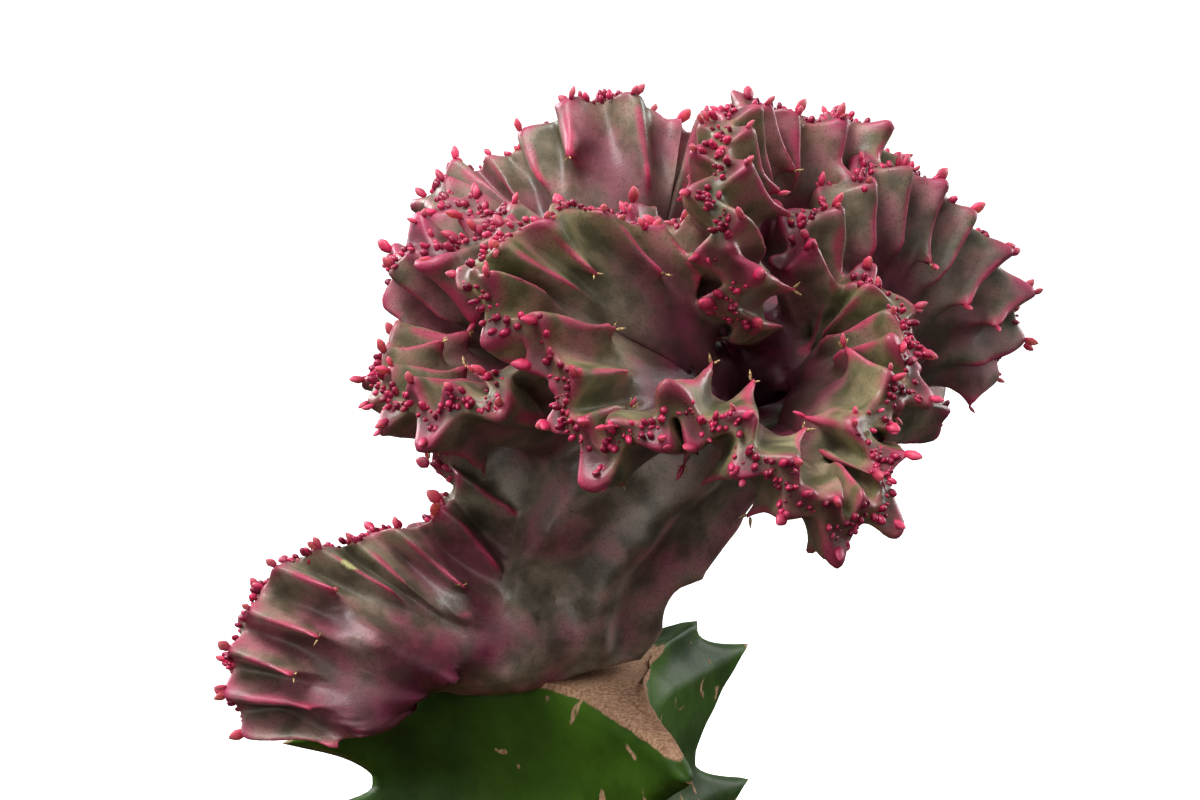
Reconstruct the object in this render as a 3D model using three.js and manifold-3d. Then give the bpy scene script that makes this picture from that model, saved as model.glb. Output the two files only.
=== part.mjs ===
// A potted crested elkhorn: a crested spurge grafted on a three-winged rootstock, in a plain pot.
// Millimetres, +Z up, the origin at the middle of the pot's underside, the crest's broad face towards -Y.
import * as THREE from "three";
import { mergeVertices } from "three/addons/utils/BufferGeometryUtils.js";
import Module from "manifold-3d";

const wasm = await Module();
wasm.setup();

// Driving dimensions
const CLEARANCE = 0.3; // between pieces that touch
const MERGED = 1e-3; // corners closer than this are one corner
const POT = {
  height: 108, rimRadius: 65, footRadius: 46, wall: 5.5, floor: 8, band: 20, bandStep: 4, sides: 40,
};
const SOIL = { top: 97, bump: 1.6, sides: 36, rings: [0, 0.25, 0.5, 0.75, 1] };
const STOCK = {
  foot: 62, stubRadius: 13, shoulder: 124, cutTop: 174, cutRadius: 13.5, wingRadius: 31, valley: 11.5,
  stubTier: 12, tier: 3.85, slopeDepth: 26,
};
// The teeth of its wings: their spacing and reach, and the shares of the spacing that slope and stand level
const TEETH = { step: 20, reach: 14, slope: 0.62, rise: 0.28 };
// Half a wing's outline from the stem outwards: share of the reach, half width, and turn on the round stub
const WING_OUTLINE = [[0.42, 7, 0.78], [0.68, 4.2, 0.5], [0.9, 2.6, 0.25]];
const WINGS = [
  { turn: 180, firstTooth: 171, fall: 0.3 },
  { turn: 292, firstTooth: 172, fall: 0.16 },
  { turn: 52, firstTooth: 167, fall: -0.08 },
];
// The ribs that fan over both faces of a fold, and the tooth on each
const RIB = {
  spacing: 8.6, height: 1.8, tooth: 1.6, toothDrop: 8.5, deepest: 0.6, sway: 0.8,
  atRim: 0.25, atShoulder: 0.6, knob: 0.6,
};
// Half a fold's thickness at its rim, below it, at the teeth and at its foot, and in tight bends
const BLADE = {
  rim: 1.9, shoulder: 2.5, shoulderDrop: 2, widest: 3.3, foot: 2.8, least: 0.6, room: 0.7,
  leastStep: 0.1, meetings: 3,
};
const GROOVE = { lip: 0.9, depth: 1.2 };
const SEAM = { halfWidth: 0.95, level: 0.35, top: 1.15, bottom: 0.62 }; // the growth line in its groove
const LEAFLET = {
  length: 2.8, halfWidth: 0.7, halfThickness: 0.5, belly: 0.55, sides: 3, sunk: 0.7, every: 2,
  leastLean: 0.28, lean: 0.7,
};
const SPINE = {
  length: 2.3, halfWidth: 0.36, halfThickness: 0.36, belly: 0.3, sides: 3, sunk: 0.9, every: 4, lean: 0.5,
};
const CORES = [
  { middle: [12, 5, 4], radii: [24, 14, 16], turns: 14, tiers: 8 },
  { middle: [13, 3, -12], radii: [9, 8, 16], turns: 10, tiers: 6 },
];
const TRUNK = {
  sides: 20,
  rib: 0.9,
  // height, middle in X and Y, radii in X and Y, and how far the right-hand flange stands out
  rings: [
    [174.3, -2, 0, 12, 10, 0], [181, -2, 0, 12, 10, 0], [186.5, -1, 0, 12, 10.5, 1],
    [189, 0, 0, 13, 11, 6], [198, 3, 0, 15, 13, 5], [206, 9, 1, 19, 15, 1], [214, 14, 2, 21, 15, 0],
  ],
};

// The folds are laid out as seen from the front: across, up and depth away from the viewer, from a point
// at the middle of the head, with the view's own foreshortening taken out.
const VIEW = {
  distance: 620, slope: THREE.MathUtils.degToRad(10), middle: new THREE.Vector3(3.75, 0, 215),
};
const ACROSS = new THREE.Vector3(1, 0, 0);
const AWAY = new THREE.Vector3(0, Math.cos(VIEW.slope), -Math.sin(VIEW.slope));
const UPWARD = new THREE.Vector3(0, Math.sin(VIEW.slope), Math.cos(VIEW.slope));

// Each fold: the growth line along its rim, and the feet from which its ribs fan out.
const FOLDS = [
  {
    name: "lower_left",
    line: [
      [-50, -49.5, -6], [-54.5, -46, -8], [-55.5, -41, -10], [-54, -34.5, -11], [-50.5, -28, -11],
      [-45, -23.5, -9], [-38, -21.5, -7], [-32, -19.5, -6.5], [-26.5, -18.5, -5],
      [-22.5, -14.5, -3], [-23.5, -9, -3], [-27, -4, -3],
    ],
    feet: [[-9, -39, 0], [-7, -36, 0], [-6, -33, 2], [-6, -26, 4], [-6, -18, 8], [-10, -8, 8]],
  },
  {
    name: "left",
    line: [
      [-28, 9, 2], [-31.5, 7.5, -7], [-33.5, 4, -16], [-31.5, 0.5, -25], [-27.5, -1.5, -32],
      [-22.5, -1.5, -36], [-17.5, 1, -37], [-14, 4, -33], [-11.5, 7, -26],
    ],
    feet: [[-10, 4, 4], [-9, -3, -4], [-6, -5, -8], [0, 0, -8]],
  },
  {
    name: "front",
    line: [
      [13, 28, -14], [10.5, 25.5, -22], [6.5, 25, -29], [2, 27.5, -33], [-4, 29, -36], [-10, 27, -38],
      [-16, 23.5, -40], [-19.5, 19, -42], [-17.5, 14.5, -44], [-12, 11, -45], [-8, 7, -45],
      [-6, 1.5, -46], [-4.5, -5, -49], [0.5, -8, -52], [5.5, -4.5, -54], [10, -1.5, -53],
      [15, -2.5, -52], [20, -5, -53], [24, -9.5, -55], [29, -14.5, -55], [35, -19, -52],
      [40.5, -17.5, -47], [43.5, -12.5, -43], [41, -7, -39], [41.5, -2, -35], [46, 1.5, -30],
      [46.5, 7.5, -24], [45.5, 13, -17], [40.5, 17.5, -12], [34, 17, -9],
    ],
    feet: [
      [16, 9, -20], [14, 6, -24], [13, 3, -25], [14, 0, -24], [17, -3, -20], [22, -4, -14],
      [26, -2, -10], [28, 1, -6], [30, 3, 0],
    ],
  },
  {
    name: "right",
    line: [
      [27, 19, -13], [30, 26, -11], [35.5, 31, -6], [42, 35, 1], [48.5, 33, 9], [54, 28, 15],
      [59, 21.5, 21], [62, 14.5, 27], [60, 8, 34], [55, 4, 39],
    ],
    feet: [[32, 6, 2], [35, 5, 6], [36, 4, 10], [34, 2, 14]],
  },
  {
    name: "crown",
    line: [
      [21, 8, -24], [19.5, 14, -30], [19, 20, -33], [17.5, 26, -35], [17.5, 32, -34], [18, 37.5, -29],
      [18.5, 41.5, -21], [20.5, 43.5, -12], [25, 44, -5], [31, 42, 0], [36.5, 42.5, 5], [41.5, 39, 11],
      [42, 35, 19],
    ],
    feet: [[24, 8, -8], [22, 14, -8], [22, 20, -6], [24, 20, -2], [28, 18, 4], [30, 16, 10]],
  },
  {
    name: "inner",
    line: [
      [-13, 16, -24], [-13, 20, -17], [-9, 22, -12], [-3, 23, -13], [2, 24, -18], [6, 25, -14],
      [5, 26, -6], [1, 27, -1], [3, 28, 5], [9, 29, 6],
    ],
    feet: [[4, 6, -4], [6, 5, -4], [8, 6, -2], [10, 7, 0]],
  },
  {
    name: "upper_left",
    line: [
      [-25, 8, 10], [-30, 13, 5], [-31.5, 19, 0], [-28.5, 23, -6], [-22.5, 23, -9], [-16.5, 25, -5],
      [-16, 28, 4], [-21, 29.5, 11], [-25, 31.5, 18], [-21, 34, 24], [-14, 36, 23], [-9, 40, 18],
      [-4.5, 43.5, 14], [1, 45.5, 13], [7, 43.5, 15], [11.5, 40, 17], [16.5, 41, 15], [21, 42.5, 11],
    ],
    feet: [[-8, 6, 4], [-6, 8, 4], [-4, 10, 6], [0, 14, 10], [6, 16, 10], [10, 16, 12]],
  },
  {
    name: "back_crown",
    line: [
      [12, 34, 28], [6, 31, 35], [-1, 27, 40], [-6, 20, 42], [-3, 13, 45], [4, 13, 50], [10, 18, 52],
      [16, 23, 50], [23, 25, 48], [29, 21, 50], [35, 22, 47], [38, 28, 40], [40, 31, 31],
    ],
    feet: [[10, 12, 8], [8, 10, 10], [10, 6, 14], [18, 4, 16], [22, 6, 14], [26, 10, 10]],
  },
  {
    name: "back_skirt",
    line: [
      [52, -3, 36], [50.5, -1, 44], [44, 3, 50], [37, 5, 54], [31, 0, 56], [25, -6, 56],
      [18, -6, 54], [13, 0, 54], [6, 2, 54], [0, -4, 52], [-6, -9, 47], [-13, -7, 42], [-17, -1, 38],
      [-22, 3, 33], [-27, 3, 25], [-30, 2, 16],
    ],
    feet: [[30, 0, 10], [26, -3, 12], [20, -6, 14], [12, -6, 14], [4, -5, 12], [-4, -2, 8]],
  },
];

// A number between 0 and 1 that is always the same for the same count and salt.
function chance(count, salt) {
  const value = Math.sin(count * 12.9898 + salt * 78.233) * 43758.5453;
  return value - Math.floor(value);
}

const between = (low, high, count, salt) => low + (high - low) * chance(count, salt);

function fromView([across, up, depth]) {
  const spread = (VIEW.distance + depth) / VIEW.distance;
  return VIEW.middle
    .clone()
    .addScaledVector(AWAY, depth)
    .addScaledVector(ACROSS, across * spread)
    .addScaledVector(UPWARD, up * spread);
}

const curveThrough = (points) => new THREE.CatmullRomCurve3(points.map(fromView), false, "centripetal");

// A closed geometry's solid, and back
function solidOf(geometry) {
  const bare = new THREE.BufferGeometry().setAttribute("position", geometry.getAttribute("position"));
  bare.setIndex(geometry.index);
  const merged = mergeVertices(bare, MERGED);
  const vertProperties = new Float32Array(merged.attributes.position.array);
  const index = [];
  for (let i = 0; i < merged.index.count; i += 3) {
    const [a, b, c] = merged.index.array.slice(i, i + 3);
    if (a !== b && b !== c && c !== a) index.push(a, b, c);
  }
  return new wasm.Manifold(new wasm.Mesh({ numProp: 3, vertProperties, triVerts: new Uint32Array(index) }));
}

function geometryOf(solid) {
  const mesh = solid.getMesh();
  const geometry = new THREE.BufferGeometry();
  geometry.setAttribute("position", new THREE.BufferAttribute(mesh.vertProperties, 3));
  return geometry.setIndex(new THREE.BufferAttribute(mesh.triVerts, 1));
}

const joined = (solids) => solids.reduce((whole, solid) => whole.add(solid));

// The largest body of a solid: loose scraps go, and a hollow that joining has sealed is filled.
function mainBody(solid) {
  const bodies = solid.decompose();
  return bodies.reduce((most, body) => (body.volume() > most.volume() ? body : most));
}

// The same, with corners that lie too close together made one, which can pinch off a scrap
const settled = (solid) => mainBody(solidOf(geometryOf(mainBody(solid))));

// Rings of points, each ring with the same count, closed at both ends by fans from the rings' middles.
function loftGeometry(rings) {
  const count = rings[0].length;
  const middleOf = (ring) =>
    ring.reduce((sum, point) => sum.add(point), new THREE.Vector3()).divideScalar(count);
  const last = (rings.length - 1) * count;
  const [lowMiddle, highMiddle] = [rings.length * count, rings.length * count + 1];
  const corners = [...rings.flat(), middleOf(rings[0]), middleOf(rings.at(-1))];
  const index = [];
  for (let i = 0; i < count; i++) {
    const next = (i + 1) % count;
    for (let ring = 0; ring + 1 < rings.length; ring++) {
      const [a, b] = [ring * count + i, ring * count + next];
      index.push(a, b, b + count, a, b + count, a + count);
    }
    index.push(lowMiddle, next, i, highMiddle, last + i, last + next);
  }
  return new THREE.BufferGeometry().setFromPoints(corners).setIndex(index);
}

// The stations along a fold: where its rim and foot are, and which way its face looks.
function stationsOf(fold, salt) {
  const line = curveThrough(fold.line);
  line.arcLengthDivisions = 800;
  const feet = curveThrough(fold.feet);
  const ribs = Math.round(line.getLength() / RIB.spacing);
  const stations = [];
  for (let count = 0; count <= 2 * ribs; count++) {
    const share = count / (2 * ribs);
    const rim = line.getPointAt(share);
    const foot = feet.getPoint(share);
    const rise = rim.clone().sub(foot);
    const length = rise.length();
    rise.normalize();
    const face = line.getTangentAt(share).cross(rise).normalize();
    stations.push({ rim, foot, rise, face, length, count, salt });
  }
  stations.forEach((station, i) => {
    const before = stations[Math.max(i - 1, 0)];
    const after = stations[Math.min(i + 1, 2 * ribs)];
    station.bend = (drop) => bendAt(before, station, after, drop);
  });
  stations.forEach((station, i) => {
    if (i > 0 && i < 2 * ribs) station.rim.addScaledVector(station.face, i % 2 ? RIB.sway : -RIB.sway);
  });
  return stations;
}

// How sharply the fold bends towards its face, as one over the bend's radius, at a drop below the rim
function bendAt(before, station, after, drop) {
  const level = ({ rim, rise, length }) => rim.clone().addScaledVector(rise, -Math.min(drop, length));
  const [back, here, ahead] = [before, station, after].map(level);
  const step = back.distanceTo(ahead) / 2;
  return back.add(ahead).addScaledVector(here, -2).dot(station.face) / Math.max(step, 0.05) ** 2;
}

// Where a rib's tooth stands, below the rim, and how far it stands out
function toothOf({ count, salt, length }) {
  const drop = Math.min(RIB.toothDrop * between(0.75, 1.25, count, salt + 9), length * RIB.deepest);
  return { drop, height: RIB.tooth * between(0.3, 1, count, salt) };
}

// One station's outline: down one face from the rim to the foot and up the other, with the growth line's
// groove between. The ribs of one face lie between those of the other.
function sectionAt(station) {
  const { rim, rise, face, length, count, salt } = station;
  const at = (drop, out) => {
    const bend = station.bend(Math.max(drop, 0)) * Math.sign(out);
    const room = bend > 0 ? Math.max(BLADE.least, BLADE.room / bend) : Infinity;
    const clear = Math.sign(out) * Math.min(Math.abs(out), room);
    return rim.clone().addScaledVector(rise, -drop).addScaledVector(face, clear);
  };
  const half = (side) => {
    const onRib = count % 2 === (side > 0 ? 1 : 0) ? 1 : 0;
    const rib = RIB.height * onRib;
    const tooth = toothOf(station);
    return [
      at(-GROOVE.lip - onRib * RIB.knob, side * (BLADE.rim + rib * RIB.atRim)),
      at(BLADE.shoulderDrop, side * (BLADE.shoulder + rib * RIB.atShoulder)),
      at(tooth.drop, side * (BLADE.widest + rib + onRib * tooth.height)),
      at(length, side * BLADE.foot),
    ];
  };
  return [at(GROOVE.depth, 0), ...half(1), ...half(-1).reverse()];
}

// Short pieces end to end, so that a fold may run into itself before its pieces are joined. Inside a
// tight bend, where neighbouring corners would cross over, they meet halfway.
function endToEnd(stations, sections) {
  for (let pass = 0; pass < BLADE.meetings; pass++) {
    for (let i = 0; i + 1 < sections.length; i++) {
      const along = stations[i + 1].rim.clone().sub(stations[i].rim).normalize();
      sections[i].forEach((corner, k) => {
        const next = sections[i + 1][k];
        if (next.clone().sub(corner).dot(along) > BLADE.leastStep) return;
        const halfway = corner.clone().add(next).divideScalar(2);
        corner.copy(halfway);
        next.copy(halfway);
      });
    }
  }
  return sections.slice(1).map((section, i) => solidOf(loftGeometry([sections[i], section])));
}

const foldSolids = (stations) => endToEnd(stations, stations.map(sectionAt));

// The growth line's own four-sided bead, with room to spare on every side when it is grown.
function seamSolids(stations, grown) {
  const section = ({ rim, rise, face }) => {
    const at = (up, out) => rim.clone().addScaledVector(rise, up).addScaledVector(face, out);
    const { halfWidth, level, top, bottom } = SEAM;
    return [
      at(top + grown, 0),
      at(level, halfWidth + grown),
      at(-bottom - grown, 0),
      at(level, -halfWidth - grown),
    ];
  };
  const run = grown ? stations : stations.slice(1, -1);
  return endToEnd(run, run.map(section));
}

// A leaflet or a spine: a few-sided spindle from its root along a direction.
function spindle(root, direction, broad, { length, halfWidth, halfThickness, belly, sides }) {
  const along = direction.clone().normalize();
  const across = broad.clone().addScaledVector(along, -broad.dot(along)).normalize();
  const through = along.clone().cross(across);
  const waist = [];
  for (let i = 0; i < sides; i++) {
    const turn = (2 * Math.PI * i) / sides;
    const point = root.clone().addScaledVector(along, belly * length);
    point.addScaledVector(across, halfWidth * Math.cos(turn));
    waist.push(point.addScaledVector(through, halfThickness * Math.sin(turn)));
  }
  const index = [];
  for (let i = 0; i < sides; i++) {
    const [a, b] = [1 + i, 1 + ((i + 1) % sides)];
    index.push(0, b, a, sides + 1, a, b);
  }
  const points = [root, ...waist, root.clone().addScaledVector(along, length)];
  return solidOf(new THREE.BufferGeometry().setFromPoints(points).setIndex(index));
}

// A pink leaflet on the growth line, over each rib's end, leaning out over that rib
function leafletAt({ rim, rise, face, count, salt }) {
  const side = chance(count, salt + 13) < 0.5 ? 1 : -1;
  const lean = between(LEAFLET.leastLean, LEAFLET.lean, count, salt + 11);
  const direction = rise.clone().addScaledVector(face, side * lean);
  const root = rim.clone().addScaledVector(rise, SEAM.top - LEAFLET.sunk);
  const broad = rise.clone().cross(face).addScaledVector(face, between(-0.5, 0.5, count, salt + 17));
  return spindle(root, direction, broad, LEAFLET);
}

// A dried spine tip at the point of a rib's tooth
function spineAt(station) {
  const { rim, rise, face, count, salt } = station;
  const side = count % 2 ? 1 : -1;
  const tooth = toothOf(station);
  const out = BLADE.widest + RIB.height + tooth.height - SPINE.sunk;
  const root = rim.clone().addScaledVector(rise, -tooth.drop).addScaledVector(face, side * out);
  const lean = between(0, SPINE.lean, count, salt + 2);
  const direction = face.clone().multiplyScalar(side).addScaledVector(rise, lean);
  return spindle(root, direction, rise, SPINE);
}

// A part of the middle of the head, which the folds grow out of
function coreSolid({ middle, radii, turns, tiers }) {
  const ball = new THREE.SphereGeometry(1, turns, tiers);
  ball.scale(radii[0], radii[1], radii[2]);
  ball.rotateX(Math.PI / 2 - VIEW.slope);
  const centre = fromView(middle);
  ball.translate(centre.x, centre.y, centre.z);
  return solidOf(ball);
}

// The trunk from the graft up into the head, with upright ribs
function trunk() {
  const rings = TRUNK.rings.map(([height, middleX, middleY, radiusX, radiusY, flange]) => {
    const ring = [];
    for (let i = 0; i < TRUNK.sides; i++) {
      const turn = (2 * Math.PI * i) / TRUNK.sides;
      const rib = i % 2 ? TRUNK.rib : 0;
      const wing = flange * Math.max(0, Math.cos(turn)) ** 8;
      const x = middleX + (radiusX + rib + wing) * Math.cos(turn);
      ring.push(new THREE.Vector3(x, middleY + (radiusY + rib) * Math.sin(turn), height));
    }
    return ring;
  });
  return solidOf(loftGeometry(rings));
}

// The crest and its growth lines
function crestSolids() {
  const runs = FOLDS.map((fold, i) => stationsOf(fold, 31 * i + 1));
  const blades = runs.flatMap(foldSolids);
  const grooves = runs.flatMap((stations) => seamSolids(stations, CLEARANCE));
  const inner = runs.map((stations) => stations.slice(1, -1));
  const spines = inner.flat().filter((station, i) => i % SPINE.every === 0).map(spineAt);
  const whole = joined([...blades, ...CORES.map(coreSolid), trunk(), ...spines]);
  const crest = settled(whole.subtract(joined(grooves)));
  const seams = runs.map((stations, i) => {
    const chosen = inner[i].filter((station) => station.count % LEAFLET.every === 0);
    const leaflets = chosen.map(leafletAt).filter((leaf) => leaf.intersect(crest).isEmpty());
    return settled(joined([...seamSolids(stations, 0), ...leaflets]));
  });
  return { crest, seams };
}

// How far out a wing of the rootstock stands at a height: teeth with level tops that fall away below
function wingReach(wing, height) {
  const phase = (((wing.firstTooth - height) / TEETH.step) % 1 + 1) % 1;
  const sloping = Math.max(0, 1 - phase / TEETH.slope) ** 1.3;
  const rising = Math.max(0, 1 - (1 - phase) / TEETH.rise) ** 2;
  const tooth = Math.max(sloping, rising);
  const grown = THREE.MathUtils.smoothstep(height, SOIL.top + 2, STOCK.shoulder);
  return STOCK.stubRadius + (STOCK.wingRadius - STOCK.stubRadius + TEETH.reach * tooth) * grown;
}

function rootstockRing(height) {
  const ring = [];
  const slope = THREE.MathUtils.smoothstep(height, STOCK.cutTop - STOCK.slopeDepth, STOCK.cutTop);
  const grown = THREE.MathUtils.smoothstep(height, SOIL.top + 2, STOCK.shoulder);
  const place = (wing, out, aside) => {
    const turn = THREE.MathUtils.degToRad(wing.turn);
    const x = out * Math.cos(turn) - aside * Math.sin(turn);
    const y = out * Math.sin(turn) + aside * Math.cos(turn);
    const drop = slope * wing.fall * Math.max(0, out - STOCK.cutRadius);
    ring.push(new THREE.Vector3(x, y, height - drop));
  };
  WINGS.forEach((wing, i) => {
    const reach = wingReach(wing, height);
    const next = WINGS[(i + 1) % WINGS.length];
    const round = STOCK.stubRadius;
    const half = WING_OUTLINE.map(([share, halfWidth, stubTurn]) => [
      THREE.MathUtils.lerp(round * Math.cos(stubTurn), reach * share, grown),
      THREE.MathUtils.lerp(round * Math.sin(stubTurn), halfWidth, grown),
    ]);
    half.forEach(([out, aside]) => place(wing, out, -aside));
    place(wing, reach, 0);
    half.reverse().forEach(([out, aside]) => place(wing, out, aside));
    const halfway = ((next.turn - wing.turn + 720) % 360) / 2;
    const valley = THREE.MathUtils.lerp(round, STOCK.valley, grown);
    const turn = THREE.MathUtils.degToRad(wing.turn + halfway);
    ring.push(new THREE.Vector3(valley * Math.cos(turn), valley * Math.sin(turn), height));
  });
  return ring;
}

function rootstockGeometry() {
  const rings = [];
  const { foot, stubTier, tier, cutTop } = STOCK;
  for (let height = foot; height < SOIL.top; height += stubTier) rings.push(rootstockRing(height));
  for (let height = SOIL.top; height < cutTop; height += tier) rings.push(rootstockRing(height));
  const top = rootstockRing(cutTop);
  const plateau = top.map((point) => {
    const out = Math.hypot(point.x, point.y);
    const share = Math.min(1, STOCK.cutRadius / out) * 0.98;
    return new THREE.Vector3(point.x * share, point.y * share, cutTop);
  });
  return loftGeometry([...rings, top, plateau]);
}

// The pot's inner wall, narrower towards the floor
const insideRadius = (height) =>
  THREE.MathUtils.lerp(POT.footRadius, POT.rimRadius - POT.bandStep, height / POT.height) - POT.wall;

function potGeometry() {
  const { height, rimRadius, footRadius, band, bandStep, floor } = POT;
  const outside = (level) => THREE.MathUtils.lerp(footRadius, rimRadius - bandStep, level / height);
  const profile = [
    [0, 0],
    [footRadius - 1.5, 0],
    [footRadius, 1.5],
    [outside(height - band - 2), height - band - 2],
    [rimRadius - 1, height - band],
    [rimRadius, height - band + 1.5],
    [rimRadius + 1, height - 2],
    [rimRadius - 0.5, height],
    [insideRadius(height) + 1.5, height],
    [insideRadius(height), height - 2],
    [insideRadius(floor + 4), floor + 4],
    [insideRadius(floor) - 4, floor],
    [0, floor],
  ].map(([radius, level]) => new THREE.Vector2(radius, level));
  return new THREE.LatheGeometry(profile, POT.sides).rotateX(Math.PI / 2);
}

// The soil: a lathed plug with a plain round hole for the stem and a lumpy top
function soilGeometry() {
  const wall = (height) => insideRadius(height) - CLEARANCE;
  const hole = STOCK.stubRadius + 2 * CLEARANCE;
  const low = POT.floor + CLEARANCE;
  const topRadii = SOIL.rings.map((share) => THREE.MathUtils.lerp(wall(SOIL.top), hole, share));
  const profile = [
    [0, low],
    [wall(low) - 4.5, low],
    [wall(low + 4.5), low + 4.5],
    ...topRadii.map((radius) => [radius, SOIL.top]),
    [hole, STOCK.foot - CLEARANCE],
    [0, STOCK.foot - CLEARANCE],
  ].map(([radius, level]) => new THREE.Vector2(radius, level));
  const geometry = new THREE.LatheGeometry(profile, SOIL.sides).rotateX(Math.PI / 2);
  const position = geometry.attributes.position;
  for (let i = 0; i < position.count; i++) {
    if (Math.abs(position.getZ(i) - SOIL.top) > 0.01) continue;
    const [x, y] = [position.getX(i), position.getY(i)];
    const lump = Math.sin(x * 0.61 + 1.3) * Math.cos(y * 0.53) + 0.6 * Math.sin(x * 0.23 - y * 0.41);
    position.setZ(i, SOIL.top + SOIL.bump * 0.5 * (lump - 1));
  }
  return geometry;
}

// Materials and the finished group
const finish = (color, roughness) => new THREE.MeshStandardMaterial({ color, roughness, metalness: 0 });
const CREST = finish(0x7c6668, 0.45);
const SEAM_PINK = finish(0xc2264f, 0.45);
const STEM = finish(0x2f5a2a, 0.4);
const EARTH = finish(0x3b2c22, 1);
const CLAY = finish(0xb06a48, 0.85);

const plant = new THREE.Group();
const named = (name, geometry, material) => {
  const mesh = new THREE.Mesh(geometry, material);
  mesh.name = name;
  plant.add(mesh);
};
const { crest, seams } = crestSolids();
named("pot", geometryOf(solidOf(potGeometry())), CLAY);
named("soil", geometryOf(solidOf(soilGeometry())), EARTH);
named("rootstock", rootstockGeometry(), STEM);
named("crest", geometryOf(crest), CREST);
seams.forEach((seam, i) => named("growth_line_" + FOLDS[i].name, geometryOf(seam), SEAM_PINK));

export default plant;
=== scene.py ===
import math

import bpy
import numpy as np
from mathutils import Euler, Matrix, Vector, kdtree
from mathutils.bvhtree import BVHTree


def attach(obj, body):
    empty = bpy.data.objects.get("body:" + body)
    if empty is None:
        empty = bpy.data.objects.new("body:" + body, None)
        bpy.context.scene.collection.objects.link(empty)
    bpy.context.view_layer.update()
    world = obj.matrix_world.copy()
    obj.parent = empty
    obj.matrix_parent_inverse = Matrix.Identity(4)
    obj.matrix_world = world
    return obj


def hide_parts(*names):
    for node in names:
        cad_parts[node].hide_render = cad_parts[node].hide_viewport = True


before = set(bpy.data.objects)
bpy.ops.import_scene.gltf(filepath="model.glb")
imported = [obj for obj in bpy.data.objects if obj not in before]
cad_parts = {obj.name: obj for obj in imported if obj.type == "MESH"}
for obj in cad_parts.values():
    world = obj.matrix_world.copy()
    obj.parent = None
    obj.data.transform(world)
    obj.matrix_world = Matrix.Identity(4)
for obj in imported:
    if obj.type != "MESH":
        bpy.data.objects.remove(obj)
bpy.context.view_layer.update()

MM = 0.001
SHARE = 1e-9

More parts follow.
